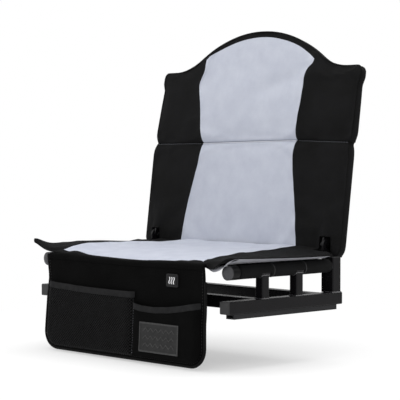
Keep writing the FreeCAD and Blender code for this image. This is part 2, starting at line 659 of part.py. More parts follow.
on_back_inverse = FreeCAD.Placement(
    vec(0, size(hinge_y), size(hinge_height)),
    FreeCAD.Rotation(vec(-1, 0, 0), size("recline"))).inverse()
lug_shapes = [upright(item) for item in lug_items.values()]
hoop_solid = swept(hoop_path(), hoop_r)
hoop_hollow = swept(hoop_path(), hoop_r - size("tube_wall"))
lugs_together = Part.makeCompound(lug_shapes)
on_back(shape_feature("back_hoop", hoop_solid.cut(hoop_hollow).cut(lugs_together)))
rod_solid = swept(rod_path(), size("rod_diameter") / 2)
on_back(shape_feature("crown_rod", rod_solid.cut(hoop_solid)))
for name in ("lower", "middle"):
    bar_radius = size("back_bar_diameter") / 2
    half = hoop_x if name == "middle" else size(f"{lug_x} - sizes.lug_thickness / 2")
    bar_start = vec(-half, hoop_y, size(name + "_bar_height"))
    bar_shape = Part.makeCylinder(bar_radius, 2 * half, bar_start, vec(1, 0, 0))
    if name == "middle":
        bar_shape = bar_shape.cut(hoop_solid)
    on_back(shape_feature(name + "_back_bar", bar_shape))

# Backrest cushions: two stuffed chambers that meet at the cross seam
back_half = size("rail_spread / 2 + back_overhang")
seam = size("seam_height")
front = size("back_front")
rear = size("back_rear")
crown_height = size("crown_height")


def back_section(z, half, edge, middle, inset):
    out = half - inset
    back = rear - inset
    side_y = (edge + back) / 2
    rear_x = out - size("back_rear_round")
    front_x = out - size("back_front_round")
    a = vec(-rear_x, back, z)
    b = vec(rear_x, back, z)
    c = vec(front_x, edge + inset, z)
    d = vec(-front_x, edge + inset, z)
    return Part.Wire([
        Part.makeLine(a, b), Part.Arc(b, vec(out, side_y, z), c).toShape(),
        Part.Arc(c, vec(0, middle + inset, z), d).toShape(),
        Part.Arc(d, vec(-out, side_y, z), a).toShape()])


# Stations run from the lower edge to the upper edge; both ends are drawn in
end_run = 0.05
least_crown = 0.06
crown_power = 0.6
back_stations = (0, 0.012, 0.04, 0.1, 0.2, 0.35, 0.5, 0.65, 0.8, 0.9, 0.96, 0.988, 1.0)


def chamber(low, high, crown, low_tuck, high_tuck, inset):
    wires = []
    for part in back_stations:
        swell = abs(math.sin(math.pi * part))
        ends = run_in(part, end_run) * run_in(1 - part, end_run)
        tuck = low_tuck if part < 0.5 else high_tuck
        edge = front + tuck * (1 - ends)
        middle = edge - crown * (least_crown + (1 - least_crown) * swell ** crown_power)
        half = back_half - size("back_corner") * (1 - ends) - size("back_side_draw") * swell
        z = low + inset + part * (high - low - 2 * inset)
        wires.append(back_section(z, half, edge, middle, inset))
    return Part.makeLoft(wires, True, True)


bottom = size("back_bottom")
upper_low = seam + size("seam_gap")


# The neck starts where the flat shoulder ends, and the arch meets it in one smooth curve
shoulder_end = back_half + size("shoulder_spare")
neck_x = shoulder_end - size("shoulder_round + shoulder_flat")
rise = crown_height - size("shoulder_height")
arch = (neck_x ** 2 + rise ** 2) / (2 * rise) - size("neck_radius")


# Outline of the whole back: straight sides, round shoulders, necks and the middle arch
def back_outline(inset):
    neck = size("neck_radius")
    shoulder = size("shoulder_height")
    low_arch = crown_height - arch
    neck_z = shoulder + neck
    share = arch / (arch + neck)
    join = (neck_x * share, low_arch + (neck_z - low_arch) * share)
    half = shoulder_end - inset
    curve = size("shoulder_round")
    base = bottom - size("shoulder_spare") + inset
    tilt = math.atan2(neck_x, neck_z - low_arch) / 2
    neck_mid = (neck_x - neck * math.sin(tilt), neck_z - neck * math.cos(tilt))
    slant = curve * (1 - math.sqrt(0.5))
    shift = -inset

    def point(x, z):
        return vec(x, 0, z)

    def arc(*spots):
        return Part.Arc(*[point(*spot) for spot in spots]).toShape()

    def mirrored(spot):
        return (-spot[0], spot[1])
    top = (0, crown_height + shift)
    right = [
        (join[0], join[1] + shift), (neck_mid[0], neck_mid[1] + shift), (neck_x, shoulder + shift),
        (half - curve, shoulder + shift), (half - slant, shoulder - slant + shift),
        (half, shoulder - curve + shift), (half, base)]
    left = [mirrored(spot) for spot in right]
    return Part.Wire([
        Part.makeLine(point(*left[6]), point(*right[6])), Part.makeLine(point(*right[6]), point(*right[5])),
        arc(right[5], right[4], right[3]), Part.makeLine(point(*right[3]), point(*right[2])),
        arc(right[2], right[1], right[0]), arc(right[0], top, left[0]),
        arc(left[0], left[1], left[2]), Part.makeLine(point(*left[2]), point(*left[3])),
        arc(left[3], left[4], left[5]), Part.makeLine(point(*left[5]), point(*left[6]))])


def back_prism(inset, start, stop):
    prism = Part.Face(back_outline(inset)).extrude(vec(0, stop - start, 0))
    prism.translate(vec(0, start, 0))
    return prism


cover = size("cover_thickness")
upper_high = crown_height + size("crown_spare")
lower_shape = (bottom, seam, size("lower_crown"), size("hem_tuck"), size("seam_tuck"))
upper_shape = (upper_low, upper_high, size("upper_crown"), size("seam_tuck"), size("crown_tuck"))
lower_whole = chamber(*lower_shape, 0)
lower_core = chamber(*lower_shape, cover)
upper_whole = chamber(*upper_shape, 0).common(back_prism(0, -back_half, back_half))
upper_core = chamber(*upper_shape, cover).common(back_prism(cover, -back_half, back_half))

# Room round each pivot for the hinge plate, bolt and stop as the back folds
slot_items = []
for sign in (-1, 1):
    low_x = size(nut_x) - size("nut_height + hinge_room")
    high_x = size(head_x) + size("bolt_head + hinge_room")
    width = high_x - low_x
    start_x = low_x if sign > 0 else -high_x
    reach = size("plate_width / 2 + hinge_room")
    round_room = Part.makeCylinder(reach, width, vec(start_x, 0, 0), vec(1, 0, 0))
    depth = 2 * reach + size("slot_front + slot_rear")
    low_spot = vec(start_x, -reach - size("slot_front"), -size("slot_drop"))
    low_room = Part.makeBox(width, depth, size("slot_drop"), low_spot)
    slot_items += [round_room, low_room]
slots = Part.makeCompound(slot_items)
loose_hoop = swept(hoop_path(), hoop_r + size("fit_gap"))
loose_rod = swept(rod_path(), size("rod_diameter") / 2 + size("fit_gap"))
loose_bars = [Part.makeCylinder(size("back_bar_diameter / 2 + fit_gap"), 2 * hoop_x,
                                vec(-hoop_x, hoop_y, size(name + "_bar_height")), vec(1, 0, 0))
              for name in ("lower", "middle")]
frame_room = [slots, loose_hoop, loose_rod] + loose_bars + lug_shapes

waist = size("back_panel_waist") / 2
low_half = size("back_panel_bottom") / 2
top_half = size("back_panel_top") / 2
front_band = 2 * rear
hem = size("back_panel_hem")


def upright_panel(face):
    return face.extrude(vec(0, front_band + front + size("panel_bite"), 0))


def ahead(x, z):
    return vec(x, -front_band, z)


def panel_sides(points):
    left = Part.Arc(*[ahead(x, z) for x, z in points]).toShape()
    right = Part.Arc(*[ahead(-x, z) for x, z in points]).toShape()
    low = Part.makeLine(ahead(*points[0]), ahead(-points[0][0], points[0][1]))
    return [left, right, low]


def lower_panel_face():
    middle = (low_half + waist) / 2 - size("lower_panel_dip")
    top = seam - hem
    sides = panel_sides(((-low_half, bottom + hem), (-middle, (bottom + seam) / 2), (-waist, top)))
    high = Part.makeLine(ahead(-waist, top), ahead(waist, top))
    return Part.Face(Part.Wire(Part.__sortEdges__(sides + [high])))


def upper_panel_face():
    rim = size("back_panel_rim")
    inner = arch - rim
    middle = crown_height - arch
    corner = middle + math.sqrt(inner ** 2 - top_half ** 2)
    low = seam + hem
    swell = waist + size("upper_panel_swell")
    sides = panel_sides(((-waist, low), (-swell, (low + corner) / 2), (-top_half, corner)))
    high = Part.Arc(ahead(-top_half, corner), ahead(0, middle + inner), ahead(top_half, corner)).toShape()
    return Part.Face(Part.Wire(Part.__sortEdges__(sides + [high])))


heater_low = (bottom + seam - size("back_heater_depth")) / 2
heater_spot = vec(-size("back_heater_width") / 2, front - size("back_heater_ahead"), heater_low)
heater_sides = [size(rule) for rule in ("back_heater_width", "heater_thickness", "back_heater_depth")]
heater_box = Part.makeBox(*heater_sides, heater_spot)
on_back(shape_feature("back_heater", heater_box))
cable_low = bottom + size("back_lead_rise")
cable_start = vec(size("button_x") / 2, front + size("back_lead_depth"), cable_low)
back_cable = Part.makeCylinder(size("lead_diameter") / 2, heater_low - cable_low, cable_start, vec(0, 0, 1))
on_back(shape_feature("back_lead", back_cable))

for name, whole, core, face in (("lower", lower_whole, lower_core, lower_panel_face()),
                                ("upper", upper_whole, upper_core, upper_panel_face())):
    panel_tool = upright_panel(face)
    shell = whole.cut(core)
    panel = shell.common(panel_tool)
    on_back(shape_feature(name + "_back_panel", panel))
    border = shell.cut(panel_tool).cut(frame_room)
    on_back(shape_feature(name + "_back_cover", border))
    foam = core.cut(frame_room + [heater_box, back_cable])
    on_back(shape_feature(name + "_back_foam", foam))

rear_gap = size("fit_gap")
rear_sheet = back_prism(0, rear + rear_gap, rear + rear_gap + size("rear_cover_thickness"))
trim_half = back_half - size("rear_cover_inset")
trim_start = vec(-trim_half, -back_half, bottom)
side_trim = Part.makeBox(2 * trim_half, 2 * back_half, 2 * crown_height, trim_start)
on_back(shape_feature("back_rear_cover", rear_sheet.common(side_trim).cut(slots)))

# Front flap: padded panel with a bound edge, hung from the seat's front seam
flap_half = "(sizes.rail_spread / 2 - sizes.flap_inset)"


def flap_outline(sketch, inset):
    half = f"{flap_half} - {inset}"
    low = f"sizes.flap_bottom + {inset}"
    curve = f"(sizes.flap_round - {inset})"
    outline(sketch, (
        (f"-({half})", flap_top), (f"-({half})", f"{low} + {curve}", curve, "left"),
        (f"-({half}) + {curve}", low), (f"{half} - {curve}", low, curve, "left"),
        (half, f"{low} + {curve}"), (half, flap_top)))


panel = solid_body("flap_panel", "XZ_Plane", "sizes.flap_thickness",
                   lambda sketch: flap_outline(sketch, "sizes.binding_width"))
place(panel, "0", flap_y, "0")
control = solid_body("control", "XZ_Plane", "sizes.control_thickness",
                     lambda sketch: rectangle(sketch, "sizes.control_width", "sizes.control_height"))
keep(place(control, "sizes.button_x", flap_y, button_z), "control_box")
flap_cable = keep(doc.addObject("Part::Cylinder", "flap_cable"), "flap_lead")
lead_low = f"{button_z} + sizes.control_height / 2"
bind(flap_cable, Radius="sizes.lead_diameter / 2", Height=f"{flap_top} - sizes.lead_short - ({lead_low})")
place(flap_cable, "sizes.button_x", flap_y, lead_low)
inside = combine("Part::Fuse", "flap_inside", control, flap_cable)
keep(combine("Part::Cut", "flap_cut", panel, inside), "flap_panel")


def binding_section(sketch):
    half = flap_half
    low = "sizes.flap_bottom"
    curve = "sizes.flap_round"
    edge = "sizes.binding_width"
    small = f"({curve} - {edge})"
    outline(sketch, (
        (f"-({half})", flap_top), (f"-({half})", f"{low} + {curve}", curve, "left"),
        (f"-({half}) + {curve}", low), (f"{half} - {curve}", low, curve, "left"),
        (half, f"{low} + {curve}"), (half, flap_top), (f"{half} - {edge}", flap_top),
        (f"{half} - {edge}", f"{low} + {curve}", small, "right"), (f"{half} - {curve}", f"{low} + {edge}"),
        (f"-({half}) + {curve}", f"{low} + {edge}", small, "right"),
        (f"-({half}) + {edge}", f"{low} + {curve}"), (f"-({half}) + {edge}", flap_top)))


binding = solid_body("binding", "XZ_Plane", "sizes.binding_thickness", binding_section)
keep(place(binding, "0", flap_y, "0"), "flap_binding")

# Pockets on the flap: a net one and a cloth one, each with a gusset and a top band
flap_face = f"({flap_y} - sizes.flap_thickness / 2)"
pocket_right = f"({flap_half} - sizes.pocket_margin)"
mesh_left = f"(sizes.pocket_margin - {flap_half})"
pocket_low = "(sizes.flap_bottom + sizes.pocket_margin)"
pocket_curve = "(sizes.flap_round - sizes.pocket_margin)"
wall = "sizes.gusset_thickness"


def net_section(sketch):
    outline(sketch, (
        (mesh_left, f"{pocket_low} + {pocket_curve}", pocket_curve, "left"),
        (f"{mesh_left} + {pocket_curve}", pocket_low), ("sizes.mesh_right", pocket_low),
        ("sizes.mesh_right", "sizes.mesh_top_right"), (mesh_left, "sizes.mesh_top_left")))


# Wall round a pocket's two sides and bottom; its outer lower corner follows the flap
def gusset_section(sketch, sign, outer, inner, outer_top, inner_top):
    way = "left" if sign == "-" else "right"
    back = "right" if sign == "-" else "left"
    turn = "+" if sign == "-" else "-"
    outline(sketch, (
        (outer, outer_top), (outer, f"{pocket_low} + {pocket_curve}", pocket_curve, way),
        (f"{outer} {turn} {pocket_curve}", pocket_low), (inner, pocket_low), (inner, inner_top),
        (f"{inner} {sign} {wall}", inner_top), (f"{inner} {sign} {wall}", f"{pocket_low} + {wall}"),
        (f"{outer} {turn} {pocket_curve}", f"{pocket_low} + {wall}", f"{pocket_curve} - {wall}", back),
        (f"{outer} {turn} {wall}", f"{pocket_low} + {pocket_curve}"), (f"{outer} {turn} {wall}", outer_top)))


net = new_body("net")
net_sketch = new_sketch(net, "XZ_Plane")
net_section(net_sketch)
extrude(net, net_sketch, "sizes.net_thickness")
place(net, "0", f"{flap_face} - sizes.mesh_depth - sizes.net_thickness / 2", "0")
doc.recompute()
net_rim = size("net_rim")
net_top = size("mesh_top_right - mesh_band_height / 2") - net_rim
net_low = size(pocket_low) + net_rim
net_left = size(mesh_left) + net_rim
net_right = size("mesh_right") - net_rim
columns = int((net_right - net_left) / size("net_pitch_x"))
rows = int((net_top - net_low) / size("net_pitch_z"))
gap_x = size("net_pitch_x - net_strand") / 2
gap_z = size("net_pitch_z - net_strand") / 2
net_y = size(f"{flap_face} - sizes.mesh_depth - 2 * sizes.net_thickness")
curve_x = size(f"{mesh_left} + {pocket_curve}")
curve_z = size(f"{pocket_low} + {pocket_curve}")
curve_reach = size(pocket_curve) - net_rim - gap_x / 2
gap_faces = []
for column in range(columns):
    for row in range(rows):
        x = net_left + (column + 0.5) * (net_right - net_left) / columns
        z = net_low + (row + 0.5) * (net_top - net_low) / rows
        from_corner = (curve_x - x, curve_z - z)
        if min(from_corner) > 0 and math.hypot(*from_corner) > curve_reach:
            continue
        spots = [(gap_x, -gap_z / 2), (gap_x, gap_z / 2), (0, gap_z), (-gap_x, gap_z / 2),
                 (-gap_x, -gap_z / 2), (0, -gap_z), (gap_x, -gap_z / 2)]
        gap_faces.append(Part.Face(Part.makePolygon([vec(x + dx, net_y, z + dz) for dx, dz in spots])))
gaps = Part.makeCompound(gap_faces).extrude(vec(0, 3 * size("net_thickness"), 0))
shape_feature("mesh_pocket", net.Shape.cut(gaps))
mesh_gusset = solid_body("mesh_gusset", "XZ_Plane", "sizes.mesh_depth", lambda sketch: gusset_section(
    sketch, "-", mesh_left, "sizes.mesh_right", "sizes.mesh_top_left", "sizes.mesh_top_right"))
keep(place(mesh_gusset, "0", f"{flap_face} - sizes.mesh_depth / 2", "0"), "mesh_pocket_gusset")


def mesh_band_section(sketch):
    low_left = "sizes.mesh_top_left - sizes.mesh_band_height"
    low_right = "sizes.mesh_top_right - sizes.mesh_band_height + sizes.mesh_band_taper"
    outline(sketch, ((mesh_left, low_left), ("sizes.mesh_right", low_right),
                     ("sizes.mesh_right", "sizes.mesh_top_right"), (mesh_left, "sizes.mesh_top_left")))


mesh_band = solid_body("mesh_band", "XZ_Plane", "sizes.band_thickness", mesh_band_section)
band_y = f"{flap_face} - sizes.mesh_depth - sizes.net_thickness - sizes.band_thickness / 2"
keep(place(mesh_band, "0", band_y, "0"), "mesh_pocket_band")

# Mouth of the cloth pocket: an arc that sags between its two ends
span = f"({pocket_right} - sizes.pocket_left)"
mouth_radius = f"({span} ^ 2 / 4 + sizes.pocket_sag ^ 2) / (2 * sizes.pocket_sag)"


def cloth_pocket_section(sketch):
    outline(sketch, (("sizes.pocket_left", pocket_low),
                     (f"{pocket_right} - {pocket_curve}", pocket_low, pocket_curve, "left"),
                     (pocket_right, f"{pocket_low} + {pocket_curve}"),
                     (pocket_right, "sizes.pocket_top_right", mouth_radius, "right"),
                     ("sizes.pocket_left", "sizes.pocket_top_left")))


cloth_pocket = solid_body("cloth_pocket", "XZ_Plane", "sizes.pocket_cloth", cloth_pocket_section)
pocket_y = f"{flap_face} - sizes.pocket_depth - sizes.pocket_cloth / 2"
keep(place(cloth_pocket, "0", pocket_y, "0"), "cloth_pocket")
cloth_gusset = solid_body("cloth_gusset", "XZ_Plane", "sizes.pocket_depth", lambda sketch: gusset_section(
    sketch, "+", pocket_right, "sizes.pocket_left", "sizes.pocket_top_right", "sizes.pocket_top_left"))
keep(place(cloth_gusset, "0", f"{flap_face} - sizes.pocket_depth / 2", "0"), "cloth_pocket_gusset")


def cloth_band_section(sketch):
    low_left = "sizes.pocket_top_left - sizes.pocket_band_height"
    low_right = "sizes.pocket_top_right - sizes.pocket_band_height"
    outline(sketch, (("sizes.pocket_left", low_left, mouth_radius, "left"), (pocket_right, low_right),
                     (pocket_right, "sizes.pocket_top_right", mouth_radius, "right"),
                     ("sizes.pocket_left", "sizes.pocket_top_left")))


cloth_band = solid_body("cloth_band", "XZ_Plane", "sizes.band_thickness", cloth_band_section)
cloth_front = f"{flap_face} - sizes.pocket_depth - sizes.pocket_cloth"
keep(place(cloth_band, "0", f"{cloth_front} - sizes.band_thickness / 2", "0"), "cloth_pocket_band")

# Blank patch with a raised rim on the cloth pocket
patch = new_body("patch")
patch_sketch = new_sketch(patch, "XZ_Plane")
rectangle(patch_sketch, "sizes.patch_width", "sizes.patch_height")
patch_pad = extrude(patch, patch_sketch, "sizes.patch_thickness", False)
round_edges(patch, patch_pad, runs_along(back_way, size("patch_thickness")), "sizes.patch_round")
field = new_sketch(patch, "XZ_Plane")
rectangle(field, "sizes.patch_width - 2 * sizes.patch_rim", "sizes.patch_height - 2 * sizes.patch_rim")
field.setExpression("AttachmentOffset.Base.z", "sizes.patch_thickness")
recess(patch, field, "sizes.patch_recess")
keep(place(patch, "sizes.patch_x", cloth_front, "sizes.patch_z"), "pocket_patch")

# Heat button: a frame on the flap, and the cap that is pressed into it
frame = new_body("frame")
frame_sketch = new_sketch(frame, "XZ_Plane")
rectangle(frame_sketch, "sizes.frame_width", "sizes.frame_height")
cap_room = "sizes.frame_width - 2 * sizes.frame_rim"
cap_room_z = "sizes.frame_height - 2 * sizes.frame_rim"
rectangle(frame_sketch, cap_room, cap_room_z)
frame_pad = extrude(frame, frame_sketch, "sizes.frame_thickness", False)


def frame_outer(edge):
    on_side = abs(abs(edge.Vertexes[0].Point.x) - size("frame_width") / 2) < 1e-4
    return on_side and runs_along(back_way, size("frame_thickness"))(edge)


round_edges(frame, frame_pad, frame_outer, "sizes.frame_round")
keep(place(frame, "sizes.button_x", flap_face, button_z), "button_frame")
button = new_body("button")
button_sketch = new_sketch(button, "XZ_Plane")
rectangle(button_sketch, f"{cap_room} - 2 * sizes.button_gap", f"{cap_room_z} - 2 * sizes.button_gap")
button_height = "sizes.frame_thickness + sizes.button_proud - sizes.button_travel - sizes.fit_gap"
button_pad = extrude(button, button_sketch, button_height, False)


def button_edge(edge):
    return all(abs(spot.Point.y + size(button_height)) < 1e-4 for spot in edge.Vertexes)


round_edges(button, button_pad, button_edge, "sizes.button_round")
button_base = f"{flap_face} - sizes.button_travel - sizes.fit_gap"
keep(place(button, "sizes.button_x", button_base, button_z), "button_cap")

# Light heat mark on the button: three wavy strokes
stroke = size("mark_stroke")
wave = size("mark_height") / 2
mark_y = size(f"{button_base} - ({button_height})")
strokes = []
for number in (-1, 0, 1):
    x = size("button_x") + number * size("mark_pitch")
    z = size(button_z)
    swing = size("mark_swing")
    curve = Part.Wire([
        Part.Arc(vec(x, mark_y, z - wave), vec(x - swing, mark_y, z - wave / 2), vec(x, mark_y, z)).toShape(),
        Part.Arc(vec(x, mark_y, z), vec(x + swing, mark_y, z + wave / 2), vec(x, mark_y, z + wave)).toShape()])
    band = []
    for side_shift in (-stroke / 2, stroke / 2):
        shifted = curve.copy()
        shifted.translate(vec(side_shift, 0, 0))
        band.append(shifted)
    tips = [z + turn * wave for turn in (-1, 1)]
    ends = [Part.makeLine(vec(x - stroke / 2, mark_y, tip), vec(x + stroke / 2, mark_y, tip)) for tip in tips]
    edges = band[0].Edges + band[1].Edges + ends
    face = Part.Face(Part.Wire(Part.__sortEdges__(edges)))
    strokes.append(face.extrude(vec(0, -size("mark_relief"), 0)))
shape_feature("heat_mark", Part.makeCompound(strokes))

doc.recompute()
for item in doc.Objects:
    if "Invalid" in item.State or "Error" in item.State:
        raise RuntimeError(f"{item.Label} is {item.State}")
bad = [node for node, item in nodes.items()
       if item.Shape.isNull() or not item.Shape.isValid() or not item.Shape.Solids]
if bad:
    raise RuntimeError(f"no valid solid in {bad}")
for node, item in nodes.items():
    item.Shape.exportStep(f"parts/{node}.step")
print(len(nodes), "nodes written")
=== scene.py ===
import math
import bpy
import bmesh
from mathutils import Matrix, Vector, noise


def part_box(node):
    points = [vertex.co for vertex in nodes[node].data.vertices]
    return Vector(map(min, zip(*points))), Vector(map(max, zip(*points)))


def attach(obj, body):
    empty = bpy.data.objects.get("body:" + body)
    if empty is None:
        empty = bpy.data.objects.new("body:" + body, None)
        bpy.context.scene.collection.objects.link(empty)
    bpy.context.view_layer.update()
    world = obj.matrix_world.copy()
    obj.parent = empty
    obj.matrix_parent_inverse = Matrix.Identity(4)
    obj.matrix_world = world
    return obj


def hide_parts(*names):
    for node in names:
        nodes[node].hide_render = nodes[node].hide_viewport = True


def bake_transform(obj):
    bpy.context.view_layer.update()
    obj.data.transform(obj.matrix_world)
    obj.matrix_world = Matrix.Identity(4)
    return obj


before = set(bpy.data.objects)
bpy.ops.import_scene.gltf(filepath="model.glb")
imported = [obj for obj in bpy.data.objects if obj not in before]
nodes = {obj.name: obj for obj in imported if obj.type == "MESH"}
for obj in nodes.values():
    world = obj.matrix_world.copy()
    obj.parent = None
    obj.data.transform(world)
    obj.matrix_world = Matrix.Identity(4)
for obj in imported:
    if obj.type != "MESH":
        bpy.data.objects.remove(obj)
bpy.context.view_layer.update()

mm = 0.001
print("frame loaded with", len(nodes), "nodes")


def boxMm(name):  # a node's low and high corner in mm
    return [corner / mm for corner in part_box(name)]


def linear(hexColour):  # sRGB hex to linear RGBA
    channels = [int(hexColour[i:i + 2], 16) / 255 for i in (1, 3, 5)]
    return [c / 12.92 if c <= 0.04045 else ((c + 0.055) / 1.055) ** 2.4 for c in channels] + [1.0]


def addNode(tree, kind, settings=None, links=None):  # one node with its settings and links
    node = tree.nodes.new("ShaderNode" + kind)
    for name, value in (settings or {}).items():
        if isinstance(name, int) or name in node.inputs:
            node.inputs[name].default_value = value
        else:
            setattr(node, name, value)
    for socket, source in (links or {}).items():
        tree.links.new(source, node.inputs[socket])
    return node


def startMaterial(name, settings):  # a principled shader with its own constants
    material = bpy.data.materials.new(name)
    material.use_nodes = True
    shader = material.node_tree.nodes["Principled BSDF"]
    for socket, value in settings.items():
        shader.inputs[socket].default_value = value
    return material, material.node_tree, shader


def tint(tree, shader, fac, dark, light, low=0.3, high=0.7):  # colour that wanders between two tones
    ramp = addNode(tree, "ValToRGB", links={"Fac": fac})
    for element, place, colour in zip(ramp.color_ramp.elements, (low, high), (dark, light)):
        element.position = place
        element.color = linear(colour)
    tree.links.new(ramp.outputs["Color"], shader.inputs["Base Color"])


def relief(tree, shader, height, depth, strength=1.0):  # bump of a real depth in metres
    bump = addNode(tree, "Bump", {"Strength": strength, "Distance": depth}, {"Height": height})
    tree.links.new(bump.outputs["Normal"], shader.inputs["Normal"])


def threadRows(tree, directions, period):  # threads side by side on the piece's UV map, which is in metres
    uv = addNode(tree, "UVMap").outputs["UV"]
    rows = []
    for direction in directions:
        settings = {"wave_type": "BANDS", "bands_direction": direction, "Distortion": 0.0,
                    "Scale": math.pi / 10 / period}
        rows.append(addNode(tree, "TexWave", settings, {"Vector": uv}).outputs["Fac"])
    return uv, rows


def plainWeave(tree, period):  # over and under threads
    uv, (warp, weft) = threadRows(tree, "XY", period)
    checks = addNode(tree, "TexChecker", {"Scale": 1 / period}, {"Vector": uv}).outputs["Fac"]
    return addNode(tree, "Mix", {"data_type": "FLOAT"}, {0: checks, 2: warp, 3: weft}).outputs[0]


def clouds(tree, size, detail=3.0, stretch=(1, 1, 1)):  # soft patches about this many metres across
    place = addNode(tree, "TexCoord").outputs["Object"]
    turned = addNode(tree, "Mapping", {"Scale": stretch}, {"Vector": place})
    return addNode(tree, "TexNoise", {"Scale": 1 / size, "Detail": detail, "Roughness": 0.55},
                   {"Vector": turned.outputs["Vector"]}).outputs["Fac"]


def mixed(tree, first, second, share):  # two heights or tones added together
    part = addNode(tree, "Math", {"operation": "MULTIPLY", 1: share}, {0: second})
    return addNode(tree, "Math", {"operation": "ADD"}, {0: first, 1: part.outputs[0]}).outputs[0]


# Woven and knitted cloths
def blackPolyester(name, roughness, specular, dark, light):  # oxford-woven polyester: deep black and dull
    material, tree, shader = startMaterial(name, {"Roughness": roughness, "Specular IOR Level": specular})
    tint(tree, shader, clouds(tree, 0.05), dark, light)
    weave = plainWeave(tree, 1.5 * mm)  # real threads are 0.5 mm; drawn three times as coarse to show
    relief(tree, shader, mixed(tree, weave, clouds(tree, 0.012), 0.8), 0.25 * mm, 0.7)
    return material


def greyPolyester():  # brushed polyester: pale blue-grey, matt, mottled, with fibres that soften the weave
    settings = {"Roughness": 0.9, "Sheen Weight": 0.05, "Sheen Roughness": 0.6, "Specular IOR Level": 0.15}
    material, tree, shader = startMaterial("greyPolyester", settings)
    mottle = mixed(tree, clouds(tree, 0.035, 4.0), clouds(tree, 0.004, 2.0), 0.25)
    tint(tree, shader, mottle, "#b3b7c4", "#bec2cd", 0.4, 0.85)
    weave = plainWeave(tree, 1.3 * mm)  # real threads are 0.4 mm; drawn three times as coarse to show
    relief(tree, shader, mixed(tree, weave, clouds(tree, 0.009, 4.0), 1.4), 0.22 * mm, 0.6)
    return material


def liningCloth():  # plain-woven taffeta: mid grey, a little shine across the folds
    material, tree, shader = startMaterial("liningCloth", {"Roughness": 0.6, "Sheen Weight": 0.1})
    tint(tree, shader, clouds(tree, 0.03), "#8d8e96", "#a2a3aa")
    weave = plainWeave(tree, 1.2 * mm)  # drawn three times as coarse to show
    relief(tree, shader, mixed(tree, weave, clouds(tree, 0.015), 1.2), 0.25 * mm, 0.6)
    return material


def bindingTape():  # grosgrain tape: black, with fine cross ribs
    material, tree, shader = startMaterial("bindingTape", {"Roughness": 0.62, "Specular IOR Level": 0.08})
    tint(tree, shader, clouds(tree, 0.02), "#090909", "#0f0f0f")
    uv, (ribs,) = threadRows(tree, "Y", 1.6 * mm)  # ribs drawn twice as coarse
    relief(tree, shader, ribs, 0.3 * mm, 0.8)
    return material


def bandElastic():  # covered elastic: charcoal, with ribs along its length
    material, tree, shader = startMaterial("bandElastic", {"Roughness": 0.7, "Specular IOR Level": 0.1})
    tint(tree, shader, clouds(tree, 0.012), "#141415", "#1f1f20")
    uv, (ribs,) = threadRows(tree, "Y", 2.2 * mm)  # ribs drawn twice as coarse
    relief(tree, shader, mixed(tree, ribs, clouds(tree, 0.004), 0.6), 0.3 * mm, 0.8)
    return material


def thread(name, colour):  # spun polyester thread: matt, twisted
    material, tree, shader = startMaterial(name, {"Roughness": 0.7, "Base Color": linear(colour)})
    relief(tree, shader, clouds(tree, 0.0008), 0.1 * mm, 0.5)
    return material


# Metals, plastics and rubber
def powderCoat():  # powder-coated steel: satin black with a slight orange peel and cloudy gloss
    material, tree, shader = startMaterial("powderCoat", {"Specular IOR Level": 0.14})
    tint(tree, shader, clouds(tree, 0.02), "#0c0b0d", "#111012")
    peel = clouds(tree, 1.6 * mm, 2.0)  # real peel is 0.8 mm; drawn twice as coarse to show
    relief(tree, shader, mixed(tree, peel, clouds(tree, 0.012), 0.5), 0.12 * mm, 0.5)
    gloss = addNode(tree, "MapRange", {"To Min": 0.2, "To Max": 0.34}, {"Value": clouds(tree, 0.03)})
    tree.links.new(gloss.outputs["Result"], shader.inputs["Roughness"])
    return material


tubeCap = {"blackTo": -0.1515, "greyFrom": -0.1545}


def tubeCapPlastic():  # moulded polyethylene with a black skirt; the domed end is painted paler grey as a painted highlight
    settings = {"Roughness": 0.34, "Specular IOR Level": 0.12}
    material, tree, shader = startMaterial("tubeCapPlastic", settings)
    place = addNode(tree, "TexCoord").outputs["Object"]
    depth = addNode(tree, "SeparateXYZ", links={0: place}).outputs["Y"]
    # the domed end's paler grey is a painted highlight where it catches the light
    highlightMask = addNode(tree, "MapRange", {"From Min": tubeCap["blackTo"], "From Max": tubeCap["greyFrom"]},
                   {"Value": depth})
    tint(tree, shader, highlightMask.outputs["Result"], "#0c0c0d", "#464648", 0.1, 0.9)
    relief(tree, shader, clouds(tree, 1.0 * mm), 0.1 * mm, 0.5)
    return material


def footRubber():  # extruded rubber: charcoal, dull, with drawn lines along its length
    material, tree, shader = startMaterial("footRubber", {"Roughness": 0.62, "Specular IOR Level": 0.2})
    lines = clouds(tree, 0.003, 2.0, (1, 0.03, 1))
    tint(tree, shader, lines, "#1d1d1e", "#28282a")
    relief(tree, shader, lines, 0.15 * mm, 0.6)
    return material


def grained(name, settings, patches, dark, light, grain=None):  # a wandering tone and a fine grain, in mm
    material, tree, shader = startMaterial(name, settings)
    tint(tree, shader, clouds(tree, patches * mm), dark, light)
    if grain:
        size, depth, strength = grain
        relief(tree, shader, clouds(tree, size * mm), depth * mm, strength)
    return material


